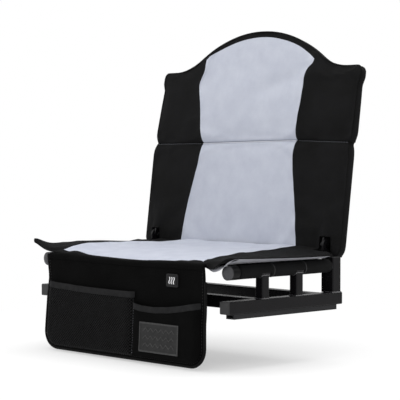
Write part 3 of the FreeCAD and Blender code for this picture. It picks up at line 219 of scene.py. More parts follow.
cloths = {
    "black": blackPolyester("blackPolyester", 0.82, 0.07, "#121212", "#171718"),
    "flap": blackPolyester("flapPolyester", 0.85, 0.03, "#070707", "#0b0b0b"),  # a darker, duller copy of the black cloth
    "grey": greyPolyester(), "lining": liningCloth(), "tape": bindingTape(), "band": bandElastic(),
    # knitted polyester yarn: dark, each strand slightly shiny
    "net": grained("netYarn", {"Roughness": 0.55, "Specular IOR Level": 0.2}, 6.0, "#1b1b1c", "#2b2b2c",
                   (1.0, 0.15, 0.6)),
    "blackThread": thread("blackThread", "#2a2a2b"), "greyThread": thread("greyThread", "#8c8e96"),
    "paleThread": thread("paleThread", "#d4d6dd")}
solids = {
    "frame": powderCoat(), "tubeCap": tubeCapPlastic(), "foot": footRubber(),
    # moulded polyethylene: dark grey, waxy, with a fine spark grain
    "cap": grained("capPlastic", {"Roughness": 0.36, "Specular IOR Level": 0.3}, 10.0, "#232324", "#2c2c2d",
                   (1.0, 0.1, 0.5)),
    # black-passivated zinc on steel: near-black metal with a cloudy shine
    "zinc": grained("zincSteel", {"Metallic": 1.0, "Roughness": 0.38}, 4.0, "#141415", "#1e1e20",
                    (1.2, 0.05, 0.4)),
    # moulded soft rubber: charcoal, satin, a fine cast grain
    "patch": grained("patchRubber", {"Roughness": 0.5, "Specular IOR Level": 0.15}, 10.0, "#202020",
                     "#2a2a2a", (0.9, 0.1, 0.6)),
    # the patch's raised lines and rim top, painted paler than its ground as a painted highlight on the
    # relief
    "patchLine": grained("patchRaised", {"Roughness": 0.5, "Specular IOR Level": 0.2}, 6.0, "#333333",
                         "#474747"),
    # moulded ABS: dark grey with a spark-eroded grain
    "button": grained("buttonPlastic", {"Roughness": 0.45, "Specular IOR Level": 0.15}, 8.0, "#161617",
                      "#1e1e1f", (0.8, 0.08, 0.5)),
    # pad-printed ink: light grey and satin
    "ink": grained("markInk", {"Roughness": 0.4}, 3.0, "#dadadc", "#f0f0f2"),
    # black-coated weld, rippled, with its colour painted paler than the black coat as a painted highlight
    # for its glints
    "weld": grained("weldSteel", {"Roughness": 0.2, "Specular IOR Level": 0.9}, 4.0, "#1e1d20", "#48474a",
                    (1.4, 0.3, 0.7))}
print("materials made", len(cloths) + len(solids))


# Finish of the nodes that stay as they are; a later finish wins, as the caps' names hold the word rail too
nodeFinish = {
    "frame": ["rail", "cross_bar", "post", "seat_tube", "hinge_plate", "hoop", "crown_rod", "back_bar",
              "hinge_lug"],
    "cap": ["rail_end_caps", "post_plugs"], "tubeCap": ["tube_cap"], "foot": ["foot_strip"],
    "zinc": ["stop_pins", "pivot_bolts", "pivot_nuts"],
    "button": ["button_frame", "button_cap", "control_box"], "ink": ["heat_mark"]}


def finishNodes():
    for name, node in nodes.items():
        for finish, words in nodeFinish.items():
            if any(word in name for word in words):
                node.data.materials.clear()
                node.data.materials.append(solids[finish])


finishNodes()


# Tools that the soft pieces use
def boxUv(bm):  # UV in metres, from the side that each face looks to
    layer = bm.loops.layers.uv.new("UVMap")
    bm.normal_update()
    for face in bm.faces:
        size = [abs(c) for c in face.normal]
        skip = size.index(max(size))
        across, up = [axis for axis in range(3) if axis != skip]
        for loop in face.loops:
            loop[layer].uv = (loop.vert.co[across], loop.vert.co[up])


def makePiece(name, bm, materials, smooth=True):
    boxUv(bm)
    mesh = bpy.data.meshes.new(name)
    bm.to_mesh(mesh)
    bm.free()
    for material in materials:
        mesh.materials.append(material)
    mesh.polygons.foreach_set("use_smooth", [smooth] * len(mesh.polygons))
    piece = bpy.data.objects.new(name, mesh)
    bpy.context.scene.collection.objects.link(piece)
    return piece


def settle(piece, body, slot, *replaced):  # the piece's body, its material slot (not used) and the nodes it stands for
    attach(piece, body)
    if replaced:
        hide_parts(*replaced)


def quarterRound(distance, radius):  # 0 at an edge, rising as a quarter circle to 1 at radius
    share = 1 - min(max(distance / radius, 0), 1)
    return math.sqrt(max(1 - share * share, 0))


def ease(value, low, high):
    share = min(max((value - low) / (high - low), 0), 1)
    return share * share * (3 - 2 * share)


def bell(distance, wide):
    return math.exp(-(distance / wide) ** 2)


def along(stations, value):  # straight runs between named stations
    for (x0, y0), (x1, y1) in zip(stations, stations[1:]):
        if value <= x1:
            return y0 + (y1 - y0) * (max(value, x0) - x0) / (x1 - x0)
    return stations[-1][1]


def wander(look, *places):  # smooth unevenness: a height in mm, waves per mm and a seed
    spot = [place * waves for place, waves in zip(places, look["perMm"])]
    return look["height"] * noise.noise(Vector(spot + look["seed"]))


def layerGrid(columns, rows, wallCuts):  # two layers joined by a wall; vertices know their place
    bm = bmesh.new()
    bmesh.ops.create_grid(bm, x_segments=columns, y_segments=rows, size=1.0)
    u, v, s = [bm.verts.layers.float.new(name) for name in ("u", "v", "s")]
    for vert in bm.verts:
        vert[u] = round((vert.co.x + 1) / 2 * columns)
        vert[v] = round((vert.co.y + 1) / 2 * rows)
    made = bmesh.ops.extrude_face_region(bm, geom=list(bm.faces), use_keep_orig=True)["geom"]
    for item in made:
        if isinstance(item, bmesh.types.BMVert):
            item[s] = 1.0
            item.co.z = 1.0
    walls = [edge for edge in bm.edges if edge.verts[0][s] != edge.verts[1][s]]
    bmesh.ops.subdivide_edges(bm, edges=walls, cuts=wallCuts)
    bmesh.ops.recalc_face_normals(bm, faces=bm.faces)
    return bm, u, v, s


def faceMean(face, layer):  # a face's column, row or side in the grid
    return sum(vert[layer] for vert in face.verts) / len(face.verts)


air = {"pressure": 4.0, "stretch": -0.03, "quality": 4, "bending": 0.4, "steps": 20}


def puff(piece, pinned, cap):  # air pressure swells the cover between its seams, within the cap
    scene = bpy.context.scene
    group = piece.vertex_groups.new(name="seams")
    group.add(pinned, 1.0, "REPLACE")
    cloth = piece.modifiers.new("puff", "CLOTH")
    cloth.settings.vertex_group_mass = "seams"
    cloth.settings.use_pressure = True
    cloth.settings.uniform_pressure_force = air["pressure"]
    cloth.settings.effector_weights.gravity = 0
    cloth.settings.shrink_min = air["stretch"]
    cloth.settings.quality = air["quality"]
    cloth.settings.bending_stiffness = air["bending"]
    cloth.collision_settings.use_collision = False
    for step in range(1, air["steps"] + 1):
        scene.frame_set(step)
    swollen = piece.evaluated_get(bpy.context.evaluated_depsgraph_get())
    moves = [new.co - old.co for new, old in zip(swollen.data.vertices, piece.data.vertices)]
    piece.modifiers.remove(cloth)
    piece.vertex_groups.clear()
    scene.frame_set(1)
    for vert, move in zip(piece.data.vertices, moves):
        vert.co += move * min(1, cap / max(move.length, 1e-9))
    print(piece.name, "swelled by up to", round(max(move.length for move in moves) / mm, 1), "mm")


def smoothOut(piece):
    subdivision = piece.modifiers.new("smooth", "SUBSURF")
    subdivision.levels = 1
    subdivision.render_levels = 1


def thicken(piece, thick):  # a sheet gets its real thickness, half to each side
    wall = piece.modifiers.new("thickness", "SOLIDIFY")
    wall.thickness = thick * mm
    wall.offset = 0


def tube(name, points, radius, material, body, slot, closed=False):  # a round bead along points
    curve = bpy.data.curves.new(name, "CURVE")
    curve.dimensions = "3D"
    curve.bevel_depth = radius * mm
    curve.bevel_resolution = 2
    curve.use_fill_caps = not closed
    spline = curve.splines.new("POLY")
    spline.points.add(len(points) - 1)
    for spot, point in zip(spline.points, points):
        spot.co = (*point, 1.0)
    spline.use_cyclic_u = closed
    holder = bpy.data.objects.new(name + "Path", curve)
    bpy.context.scene.collection.objects.link(holder)
    mesh = bpy.data.meshes.new_from_object(holder.evaluated_get(bpy.context.evaluated_depsgraph_get()))
    bpy.data.objects.remove(holder)
    bm = bmesh.new()
    bm.from_mesh(mesh)
    bmesh.ops.remove_doubles(bm, verts=bm.verts, dist=1e-6)
    piece = makePiece(name, bm, [material])
    settle(piece, body, slot)
    return piece


def stitches(name, runs, out, look, material, body):  # a row of short threads along each run of points
    pitch, length, width, height = [look[key] * mm for key in ("pitch", "length", "width", "height")]
    size = Matrix.Diagonal((length, width, height, 1))
    bm = bmesh.new()
    for points in runs:
        left = pitch
        for first, second in zip(points, points[1:]):
            way = second - first
            forward = way.normalized()
            turn = Matrix((forward, forward.cross(out).normalized(), out)).transposed().to_4x4()
            spot = left
            while spot < way.length:
                middle = Matrix.Translation(first + way * (spot / way.length))
                bmesh.ops.create_icosphere(bm, subdivisions=1, radius=0.5, matrix=middle @ turn @ size)
                spot += pitch
            left = spot - way.length
    settle(makePiece(name, bm, [material]), body, "binding_tape")


# Backrest: its own upright frame leans back about the pivot, in mm
back = {"pivot": (0.0, 148.5, 131.0), "lean": 8.8, "half": 305.0, "bottom": -18.0, "seam": 213.0,
        "crown": 463.6, "arch": 317.0, "neck": 135.0, "shoulder": 379.0, "shoulderRound": 14.0,
        "front": 4.0, "rear": 19.6, "seamDepth": 10.0, "rim": 13.0, "steepest": 1.2,
        "bow": [(-18, 0.0), (213, -3.3), (379, 1.6), (464, 1.6)],
        "pinch": 5.5, "pinchReach": 12.0, "footRound": 9.0, "foot": 4.5, "footRise": 40.0, "footEdge": 4.0,
        "sideRound": 46.0, "seamRound": 30.0, "knee": 285.0, "wallSwell": 1.6, "swellCap": 5.0,
        "lugX": 260.0, "lugWide": 13.0, "lugCover": [(0, 12.0), (17, 10.5), (64, 1.0), (80, 0.0)],
        "slotIn": 248.5, "slotOut": 275.5, "slotTop": 17.5, "slotRows": 8.0,
        "calmIn": 240.0, "calmOut": 282.0, "calmTop": 66.0, "calmRows": 2, "wallCuts": 3,
        "seamRise": [(-305, 0.0), (-144, 1.5), (0, 5.0), (144, 8.0), (305, 4.0)], "riseReach": 45.0,
        "drag": {"height": 1.1, "perMm": (0.021, 0.0035), "seed": [3.1]},
        "soft": {"height": 1.3, "perMm": (0.011, 0.012), "seed": [7.7]},
        "hollow": {"depth": 5.0, "x": 70.0, "wide": 70.0, "z": 342.0, "tall": 13.0, "slope": 0.3,
                   "levelX": 60.0}}
backTurn = Matrix.Translation(Vector(back["pivot"])) @ Matrix.Rotation(math.radians(-back["lean"]), 4, "X")
greyShares = [0, 0.09, 0.18, 0.27, 0.36, 0.45, 0.54, 0.63, 0.72, 0.81, 0.88, 0.94, 0.98, 1.0]

# Each chamber: how much its sides are drawn in, the grey panel's half width, and its columns and rows
lowerBack = {"narrowLeft": [(-18, 3), (213, 0)], "narrowRight": [(-18, 5), (213, 9)],
             "grey": [(-18, 180), (-6, 178), (72, 167), (130, 155), (160, 148), (183, 144), (213, 144)],
             "columns": greyShares,
             "sides": [181.5, 186, 194, 206, 220, 232, 241, 247, 248.5, 250.5, 262, 273.5, 275.5, 277, 284,
                       291, 297, 301.5, 304, 305],
             "rows": [0, 1.2, 4, 9, 16, 26, 38, 52, 68, 84, 100, 116, 132, 148, 164, 180, 194, 206, 215,
                      222, 227, 229.8, 231],
             "rimRows": [], "seamReach": 36.0, "edgeReach": 22.0,
             "crown": [(-18, 4.5), (30, 7.5), (80, 8.5), (150, 8.0), (190, 7.0), (213, 6.0)]}
upperBack = {"narrowLeft": [(213, 2), (300, 7), (338, 10), (354, 4), (379, 4)],
             "narrowRight": [(213, 4), (300, 5), (338, 6), (354, 0), (379, 0)],
             "greyLeft": [(213, 144), (244, 148), (272, 151), (302, 157), (331, 165), (348, 170),
                          (358, 168), (367, 160), (378, 158), (400, 160)],
             "greyRight": [(213, 144), (244, 148), (272, 150), (302, 154), (331, 156), (350, 153),
                           (362, 155), (374, 161), (386, 173), (400, 176)],
             "greyTop": 400.0, "columns": greyShares,
             "sides": [173.5, 178, 186, 197, 209, 221, 232, 242, 251, 260, 269, 277, 284, 290, 295, 299,
                       302, 304, 305],
             "rows": [0, 0.006, 0.02, 0.045, 0.08, 0.12, 0.17, 0.23, 0.3, 0.37, 0.44, 0.51, 0.58, 0.65,
                      0.72, 0.79, 0.85, 0.9, 0.94, 0.97, 0.99, 1.0],
             "rimRows": [0.2, 0.45, 0.7, 0.88, 1.0], "seamReach": 42.0, "edgeReach": 34.0,
             "crown": [(213, 8.0), (270, 13.0), (322, 14.0), (380, 11.0), (430, 8.0), (463, 6.0)]}
backFolds = [{"from": (-20, 316), "to": (158, 368), "depth": 3.6, "wide": 11.0},
             {"from": (-150, 318), "to": (-40, 262), "depth": 1.6, "wide": 9.0},
             {"from": (30, 262), "to": (140, 236), "depth": 1.8, "wide": 8.0},
             {"from": (-132, 40), "to": (-104, 168), "depth": 2.2, "wide": 9.0},
             {"from": (96, 190), "to": (146, 60), "depth": 2.0, "wide": 9.0},
             {"from": (-60, 30), "to": (70, 58), "depth": 1.6, "wide": 12.0}]


def onBack(x, y, z):  # from the upright frame in mm to the shared frame in metres
    return (backTurn @ Vector((x, y, z))) * mm


behindBack = (onBack(0, 1, 0) - onBack(0, 0, 0)).normalized()
aheadOfBack = (onBack(0, -1, 0) - onBack(0, 0, 0)).normalized()


def backTop(x):  # height of the top outline: crown arch, neck, flat shoulder and rounded corner
    x = abs(x)
    arch, neck, cornerRound = back["arch"], back["neck"], back["shoulderRound"]
    archLow = back["crown"] - arch
    neckZ = back["shoulder"] + neck
    neckX = math.sqrt((arch + neck) ** 2 - (neckZ - archLow) ** 2)
    corner = back["half"] - cornerRound
    if x < neckX * arch / (arch + neck):
        return archLow + math.sqrt(arch ** 2 - x ** 2)
    if x < neckX:
        return neckZ - math.sqrt(neck ** 2 - (neckX - x) ** 2)
    if x < corner:
        return back["shoulder"]
    return back["shoulder"] - cornerRound * (1 - math.sqrt(max(1 - ((x - corner) / cornerRound) ** 2, 0)))


atWall = 0.5  # mm from the edge that still count as the wall
outerColumns = 1.5  # columns held at each side


def middleColumn(look):
    return len(look["columns"]) - 1 + len(look["sides"])


def lastRow(look):
    return len(look["rows"]) - 1 + len(look["rimRows"])


sideKnee, firstGap = 241.0, 1.5  # columns inside the knee follow the grey panel's edge


def sideX(look, column, grey):  # column number to x: shares of the grey half, then places out to the edge
    inner, outer = look["columns"], look["sides"]
    step = abs(int(round(column)) - middleColumn(look))
    sign = -1 if column < middleColumn(look) else 1
    if step < len(inner):
        return sign * inner[step] * grey
    place = outer[step - len(inner)]
    first = outer[0] - firstGap
    if place < sideKnee:
        place = grey + (place - first) * (sideKnee - grey) / (sideKnee - first)
    return sign * place


def upperPlace(look, column, row):  # x and z in the upper chamber, and the edges it rounds off to
    rimRow = len(look["rows"]) - 1
    share = look["rows"][min(row, rimRow)]
    outline = look["greyLeft"] if column < middleColumn(look) else look["greyRight"]
    x = sideX(look, column, along(outline, back["seam"] + share * (look["greyTop"] - back["seam"])))
    top = backTop(x)
    slope = (backTop(x + 1) - backTop(x - 1)) / 2
    rimLine = top - back["rim"] * math.sqrt(1 + min(abs(slope), back["steepest"]) ** 2)
    z = back["seam"] + share * (rimLine - back["seam"])
    if row > rimRow:
        z = rimLine + look["rimRows"][row - rimRow - 1] * (top - rimLine)
    return x, z, [(back["seam"], look["seamReach"]), (top, look["edgeReach"])]


def lowerPlace(look, column, row):  # the same for the lower chamber
    bottom, slotTop = back["bottom"], back["slotTop"]
    z = bottom + look["rows"][row] / look["rows"][-1] * (back["seam"] - bottom)
    x = sideX(look, column, along(look["grey"], z))
    if back["slotIn"] <= abs(x) <= back["slotOut"]:  # the rows are pressed together above the hinge slot
        calm = slotTop + back["slotRows"]
        if z < calm:
            z = slotTop + (z - bottom) * back["slotRows"] / (calm - bottom)
    elif abs(x) > back["slotOut"]:  # the outer corner hangs over the rear post
        z -= back["foot"] * (1 - ease(z, bottom, bottom + back["footRise"]))
    return x, z, [(back["seam"], look["seamReach"]), (bottom - back["footEdge"], look["edgeReach"])]


def backHalf(look, x, z):  # half width of a chamber: drawn in at the seam and rounded at the foot
    half = back["half"] - along(look["narrowRight" if x > 0 else "narrowLeft"], z)
    half -= back["pinch"] * bell(z - back["seam"], back["pinchReach"])
    return half - back["footRound"] * bell(max(0, z - back["bottom"] + back["foot"]), back["footRound"])


def backFront(look, x, z, half, edges):  # how far forward the front cover stands
    side = quarterRound(half - abs(x), back["sideRound"])
    near = 1.0
    for height, reach in edges:
        near *= quarterRound(abs(z - height), reach)
    seamNear = 1 - quarterRound(abs(z - back["seam"]), back["seamRound"])
    front = back["front"] + (back["seamDepth"] - back["front"]) * seamNear
    front -= along(look["crown"], z) * side * near
    lug = along(back["lugCover"], z) * bell(abs(x) - back["lugX"], back["lugWide"])
    return front + along(back["bow"], z) - lug  # the hinge lug shows through


def dents(x, z):  # soft hollows and drag lines of the cover
    look = back["hollow"]
    level = look["z"] + look["slope"] * (x - look["levelX"])
    hollow = look["depth"] * bell(x - look["x"], look["wide"]) * bell(z - level, look["tall"])
    return wander(back["drag"], x, z) + wander(back["soft"], x, z) + hollow


def pressFolds(piece):  # soft creases in the swollen cover, each fading out at its ends
    upright = backTurn.inverted()
    for vert, layer in zip(piece.data.vertices, piece.data.attributes["s"].data):
        if layer.value > 0:
            continue
        spot = (upright @ (vert.co / mm)).xz
        for fold in backFolds:
            start = Vector(fold["from"])
            way = Vector(fold["to"]) - start
            share = (spot - start).dot(way) / way.length_squared
            if 0 < share < 1:
                near = (spot - start - way * share).length
                press = fold["depth"] * math.sin(math.pi * share) * bell(near, fold["wide"])
                vert.co += behindBack * press * mm


def makeBackCushion(name, look, upper, *replaced):
    rows, middle = lastRow(look), middleColumn(look)
    greyRows, greyEdge = len(look["rows"]) - 1, len(look["columns"]) - 1
    seamRow = 0 if upper else rows
    place = upperPlace if upper else lowerPlace
    knee = back["knee"]
    bm, u, v, s = layerGrid(2 * middle, rows, back["wallCuts"])
    for vert in bm.verts:
        x, z, edges = place(look, vert[u], int(round(vert[v])))
        half = backHalf(look, x, z)
        outside = max(0, abs(x) - knee) * (half - knee) / (back["half"] - knee)
        x = math.copysign(min(abs(x), knee) + outside, x)
        y = backFront(look, x, z, half, edges) * (1 - vert[s]) + back["rear"] * vert[s]
        if vert[s] == 0:
            calm = quarterRound(half - abs(x), back["seamRound"])
            y += dents(x, z) * calm * quarterRound(abs(z - back["seam"]), back["seamRound"])
        if abs(x) > half - atWall:  # the side wall swells out between its seams
            x += math.copysign(back["wallSwell"] * math.sin(math.pi * vert[s]), x)
        rise = along(back["seamRise"], x) * bell(z - back["seam"], back["riseReach"])
        vert.co = onBack(x, y, z + rise)
    for face in bm.faces:
        inGrey = abs(faceMean(face, u) - middle) < greyEdge and faceMean(face, v) < greyRows
        face.material_index = 1 if inGrey and all(vert[s] == 0 for vert in face.verts) else 0
    bm.verts.index_update()
    seams = []
    for vert in bm.verts:
        offset = abs(vert[u] - middle)
        outer = vert[s] > 0 or vert[v] in (0, rows) or offset > middle - outerColumns
        bySeam = abs(vert[v] - seamRow) <= back["calmRows"]
        low = vert.co.z / mm < back["pivot"][2] + back["calmTop"]
        byHinge = not upper and low and back["calmIn"] < abs(vert.co.x / mm) < back["calmOut"]
        if outer or bySeam or byHinge or (offset == greyEdge and vert[v] <= greyRows):
            seams.append(vert.index)
    piece = makePiece(name, bm, [cloths["black"], cloths["grey"]])
    puff(piece, seams, back["swellCap"] * mm)
    pressFolds(piece)
    smoothOut(piece)
    settle(piece, "back", "black_fabric", *replaced)
    return piece


lowerCushion = makeBackCushion("lowerBackCushion", lowerBack, False, "lower_back_cover", "lower_back_panel",
                               "lower_back_foam", "back_heater", "back_lead")
upperCushion = makeBackCushion("upperBackCushion", upperBack, True, "upper_back_cover", "upper_back_panel",
                               "upper_back_foam")
print("back cushions made")


# Seat cushion: a padded mat that lies on the sling
seatLow = boxMm("seat_border")[0]
seat = {"half": 302.0, "front": seatLow.y, "rear": 145.5, "notchX": 248.0, "notchY": 118.5, "wallCuts": 3,
        "top": [(-177, 108.5), (-165, 111), (-140, 114), (-100, 117), (-30, 119.5), (60, 122.5),
                (146, 126.5)],
        "under": 106.6, "edgeUnder": 110.5, "underFrom": 250.0, "rim": 2.2, "sideRound": 14.0,
        "frontRound": 12.0,
        "dip": 5.5, "dipX": -5.0, "dipWide": 125.0, "droop": 10.0, "droopX": 249.0, "droopWide": 27.0,
        "frontReach": 24.0, "cornerIn": 3.0, "cornerReach": 9.0, "bulge": 1.2, "swellCap": 3.0,
        "borderX": 185.0, "borderPower": 1.6, "rightDroop": 7.0, "leftRise": 0.5,
        "rightLift": [(-172, 9.5), (-140, 7.5), (-112, 6.5), (-55, 4.5), (20, 2.4), (120, 1.0)],
        "leftHump": [(-178, 0.0), (-150, 5.0), (-115, 9.5), (-60, 9.0), (0, 5.5), (50, 1.5), (90, -2.0),
                     (146, -3.5)],
        "tipRise": 15.0, "tipThick": 8.0, "tipReach": 8.0, "underShare": 0.9, "slant": 0.7,
        "calmSide": 60.0, "calmFront": 25.0, "waveReach": 60.0, "sideFrom": 280.0,
        "tipX": (235, 300), "tipY": (105, 172), "curlX": (240, 300), "curlY": (120, 172),
        "humpX": (130, 205), "underX": (200, 260), "liftX": (246, 296),
        "fold": {"height": 1.8, "perMm": (0.014, 0.0045), "seed": [1.3]},
        "soft": {"height": 1.1, "perMm": (0.018, 0.02), "seed": [5.2]},
        "frontWave": {"height": 1.8, "perMm": (0.02,), "seed": [0.4, 2.2]},
        "sideWave": {"height": 1.2, "perMm": (0.018, 3.0), "seed": [0.3]},
        "grey": [(-177, 223), (-168, 221), (-120, 208), (-60, 194), (20, 186), (80, 181), (146, 178)],
        "columns": greyShares,
        "sides": [225.5, 229, 234, 239, 243, 247, 248.5, 254, 262, 270, 278, 285, 291, 296, 299, 301, 302],
        "rows": [0, 1.0, 3.0, 6.0, 9.0, 12, 18, 28, 42, 60, 80, 102, 124, 146, 168, 190, 212, 234, 256, 276,
                 292, 304, 312, 318, 321, 322], "borderRows": 4}


def frontDip(x):  # the front edge hangs lower in the middle
    return seat["dip"] * bell(x - seat["dipX"], seat["dipWide"])


def frontDroop(x, y):  # so does the seat's own edge, and it droops beside the flap's right end
    droop = seat["droop"] * bell(x - seat["droopX"], seat["droopWide"])
    return (frontDip(x) + droop) * (1 - ease(y, seat["front"], seat["front"] + seat["frontReach"]))


def seatTip(x, y):  # share of the front left corner that curls up
    return (ease(-x, *seat["tipX"]) * ease(-y, *seat["tipY"])) ** 2


def seatCurl(x, y):  # share of the same corner that reaches forward
    return ease(-x, *seat["curlX"]) * ease(-y, *seat["curlY"])


def seatTop(x, y):
    height = along(seat["top"], y)
    share = min(max((abs(x) - seat["borderX"]) / (seat["half"] - seat["borderX"]), 0), 1)
    border = along(seat["rightLift"], y) - seat["rightDroop"] if x > 0 else seat["leftRise"]
    height += border * share ** seat["borderPower"]
    height += along(seat["leftHump"], y) * ease(-x, *seat["humpX"]) + seat["tipRise"] * seatTip(x, y)
    folds = wander(seat["fold"], x + seat["slant"] * y, y - seat["slant"] * x) + wander(seat["soft"], x, y)
    calm = quarterRound(seat["half"] - abs(x), seat["calmSide"])
    return height + folds * calm * quarterRound(y - seat["front"], seat["calmFront"])


def makeSeatCushion():
    look = seat
    rows, middle, greyEdge = len(look["rows"]) - 1, middleColumn(look), len(look["columns"]) - 1
    bm, u, v, s = layerGrid(2 * middle, rows, look["wallCuts"])
    for vert in bm.verts:
        share = look["rows"][int(round(vert[v]))] / look["rows"][-1]
        y = look["front"] + share * (look["rear"] - look["front"])
        x = sideX(look, vert[u], along(look["grey"], y))
        wave = wander(look["frontWave"], x)
        if abs(x) >= look["notchX"]:
            y = look["front"] + share * (look["notchY"] - look["front"])
        half = look["half"] + wander(look["sideWave"], y, math.copysign(1, x))
        half -= look["cornerIn"] * bell(y - look["front"], look["cornerReach"])
        x *= half / look["half"] if abs(x) > look["sideFrom"] else 1
        top = seatTop(x, y)
        outer = min(max((abs(x) - look["underFrom"]) / (look["half"] - look["underFrom"]), 0), 1)
        under = look["under"] + (look["edgeUnder"] - look["under"]) * outer ** 2
        lifted = max(0, top - along(look["top"], y))
        under += lifted * look["underShare"] * ease(-x, *look["underX"])
        under += along(look["rightLift"], y) * ease(x, *look["liftX"])
        rim = under + look["rim"] + look["tipThick"] * seatTip(x, y)
        edge = quarterRound(half - abs(x), look["sideRound"])
        edge *= quarterRound(y - look["front"], look["frontRound"])
        z = rim + (top - rim) * edge if vert[s] == 0 else under
        if 0 < vert[s] < 1:
            z = rim * (1 - vert[s]) + under * vert[s]
            bulge = look["bulge"] * math.sin(math.pi * vert[s])
            x += math.copysign(bulge, x) if abs(x) > half - atWall else 0
            y -= bulge if y < look["front"] + atWall else 0
        z -= frontDroop(x, y)
        y -= look["tipReach"] * seatCurl(x, y)
        y += wave * (1 - ease(y, look["front"], look["front"] + look["waveReach"]))
        vert.co = Vector((x, y, z)) * mm
    for face in bm.faces:
        inGrey = abs(faceMean(face, u) - middle) < greyEdge and faceMean(face, v) > look["borderRows"]
        face.material_index = 1 if inGrey and all(vert[s] == 0 for vert in face.verts) else 0
    bm.verts.index_update()
    seams = []
    for vert in bm.verts:
        offset = abs(vert[u] - middle)
        if vert[s] > 0 or vert[v] in (0, rows) or offset > middle - outerColumns or offset == greyEdge:
            seams.append(vert.index)
    piece = makePiece("seatCushion", bm, [cloths["black"], cloths["grey"]])
    puff(piece, seams, look["swellCap"] * mm)
    smoothOut(piece)
    settle(piece, "base", "black_fabric", "seat_border", "seat_center_panel", "seat_foam", "seat_heater",
           "seat_lead")


makeSeatCushion()
print("seat cushion made")


# Grey lining under the seat, wrapped up to the edge of the cover
lining = {"half": 300.5, "front": seat["front"] + 3.5, "rear": 117.0, "flat": 105.6, "edge": 110.2,
          "wrap": 22.0, "thick": 0.7, "lip": 5.0, "lipReach": 14.0, "tipRise": 13.0, "tipReach": 6.0,
          "spread": 0.6, "columns": 64, "rows": 34, "liftX": (268, 300), "lipX": (236, 256),
          "slack": {"height": 0.6, "perMm": (0.02, 0.01), "seed": [8.8]}}


def makeLining():
    look = lining
    bm = bmesh.new()
    bmesh.ops.create_grid(bm, x_segments=look["columns"], y_segments=look["rows"], size=1.0)
    for vert in bm.verts:
        x = math.copysign(abs(vert.co.x) ** look["spread"], vert.co.x) * look["half"]
        y = look["front"] + (vert.co.y + 1) / 2 * (look["rear"] - look["front"])
        climb = ease(abs(x), look["half"] - look["wrap"], look["half"])
        z = look["flat"] + (look["edge"] - look["flat"]) * climb + look["tipRise"] * seatTip(x, y)
        z += seat["underShare"] * max(0, along(seat["leftHump"], y)) * ease(-x, *seat["underX"])
        z += along(seat["rightLift"], y) * ease(x, *look["liftX"]) - frontDroop(x, y)
        lip = 1 - ease(y, look["front"], look["front"] + look["lipReach"])
        z -= look["lip"] * ease(x, *look["lipX"]) * lip
        z -= abs(wander(look["slack"], y, x)) * climb
        vert.co = Vector((x, y - look["tipReach"] * seatCurl(x, y), z)) * mm
    piece = makePiece("seatLining", bm, [cloths["lining"]])
    thicken(piece, look["thick"])
    settle(piece, "base", "lining_fabric", "seat_lining")


makeLining()
print("lining made")


# Front flap: it hangs from the seat's front edge, its lower end stands a little forward
flapLow, flapHigh = boxMm("flap_panel")
flap = {"half": flapHigh.x, "top": flapHigh.z, "bottom": flapLow.z, "front": flapLow.y,
        "thick": flapHigh.y - flapLow.y, "round": 38.0, "lean": 6.5, "leanTop": 50.0, "leanPower": 1.4,
        "dipFrom": 84.0, "taper": 3.0, "flarePower": 3,
        "flareLeft": [(0, -7.0), (0.135, -3.0), (0.45, 6.0), (0.71, 9.0), (1.0, 11.0)],
        "flareRight": [(0, 0.0), (0.49, 1.0), (0.72, -1.5), (1.0, -4.5)],
        "rows": [104, 101, 94, 84, 70, 56, 42, 28, 14, 0, -14, -28, -42, -54], "cornerRows": 8,
        "columns": 48, "spread": 0.8, "edgeSoft": 26.0, "edgeThin": 1.6, "waveFrom": 52.0, "waveFull": 30.0,
        "wave": {"height": 0.7, "perMm": (0.016, 0.013), "seed": [4.4]}}
aheadOfFlap = Vector((0, -1, 0))


def flapPoint(x, z, out):  # out is how far a point stands in front of the flap's face, all in mm
    drop = max(0, (flap["leanTop"] - z) / (flap["leanTop"] - flap["bottom"]))
    down = (flap["top"] - z) / (flap["top"] - flap["bottom"])
    flare = along(flap["flareLeft"] if x < 0 else flap["flareRight"], down)
    spread = math.copysign(flare * (abs(x) / flap["half"]) ** flap["flarePower"], x)
    top = frontDip(x) * ease(z, flap["dipFrom"], flap["top"])
    y = flap["front"] - flap["lean"] * drop ** flap["leanPower"] - out
    return Vector((x + spread, y, z - top)) * mm


def flapHalf(z):  # half width of the outline, with its two round lower corners
    low = flap["bottom"] + flap["round"]
    if z >= low:
        return flap["half"]
    drop = min(low - z, flap["round"])
    return flap["half"] - flap["round"] + math.sqrt(flap["round"] ** 2 - drop ** 2)


def hangOnFlap(bm):  # from x, out and z in mm to the shared frame
    for vert in bm.verts:
        vert.co = flapPoint(vert.co.x, vert.co.z, vert.co.y)


def makeFlapPanel():
    turns = flap["cornerRows"]
    heights = flap["rows"] + [flap["bottom"] + flap["round"] * (1 - math.sin(math.pi / 2 * i / turns))
                              for i in range(turns + 1)]
    bm, u, v, s = layerGrid(flap["columns"], len(heights) - 1, 1)
    for vert in bm.verts:
        share = 2 * vert[u] / flap["columns"] - 1
        z = heights[len(heights) - 1 - int(round(vert[v]))]
        half = flapHalf(z)
        x = math.copysign(abs(share) ** flap["spread"], share) * half
        near = min(half - abs(x), z - flap["bottom"])
        thin = flap["edgeThin"] * (1 - quarterRound(near, flap["edgeSoft"]))
        wave = wander(flap["wave"], x, z) * (1 - ease(z, flap["waveFull"], flap["waveFrom"]))
        rearOut = -flap["thick"] + thin + flap["taper"] * ease(z, flap["dipFrom"], flap["top"])
        vert.co = (x, (wave - thin) * (1 - vert[s]) + rearOut * vert[s], z)
    hangOnFlap(bm)
    piece = makePiece("flapPanel", bm, [cloths["flap"]])
    smoothOut(piece)
    settle(piece, "flap", "black_fabric", "flap_panel", "flap_lead", "control_box")


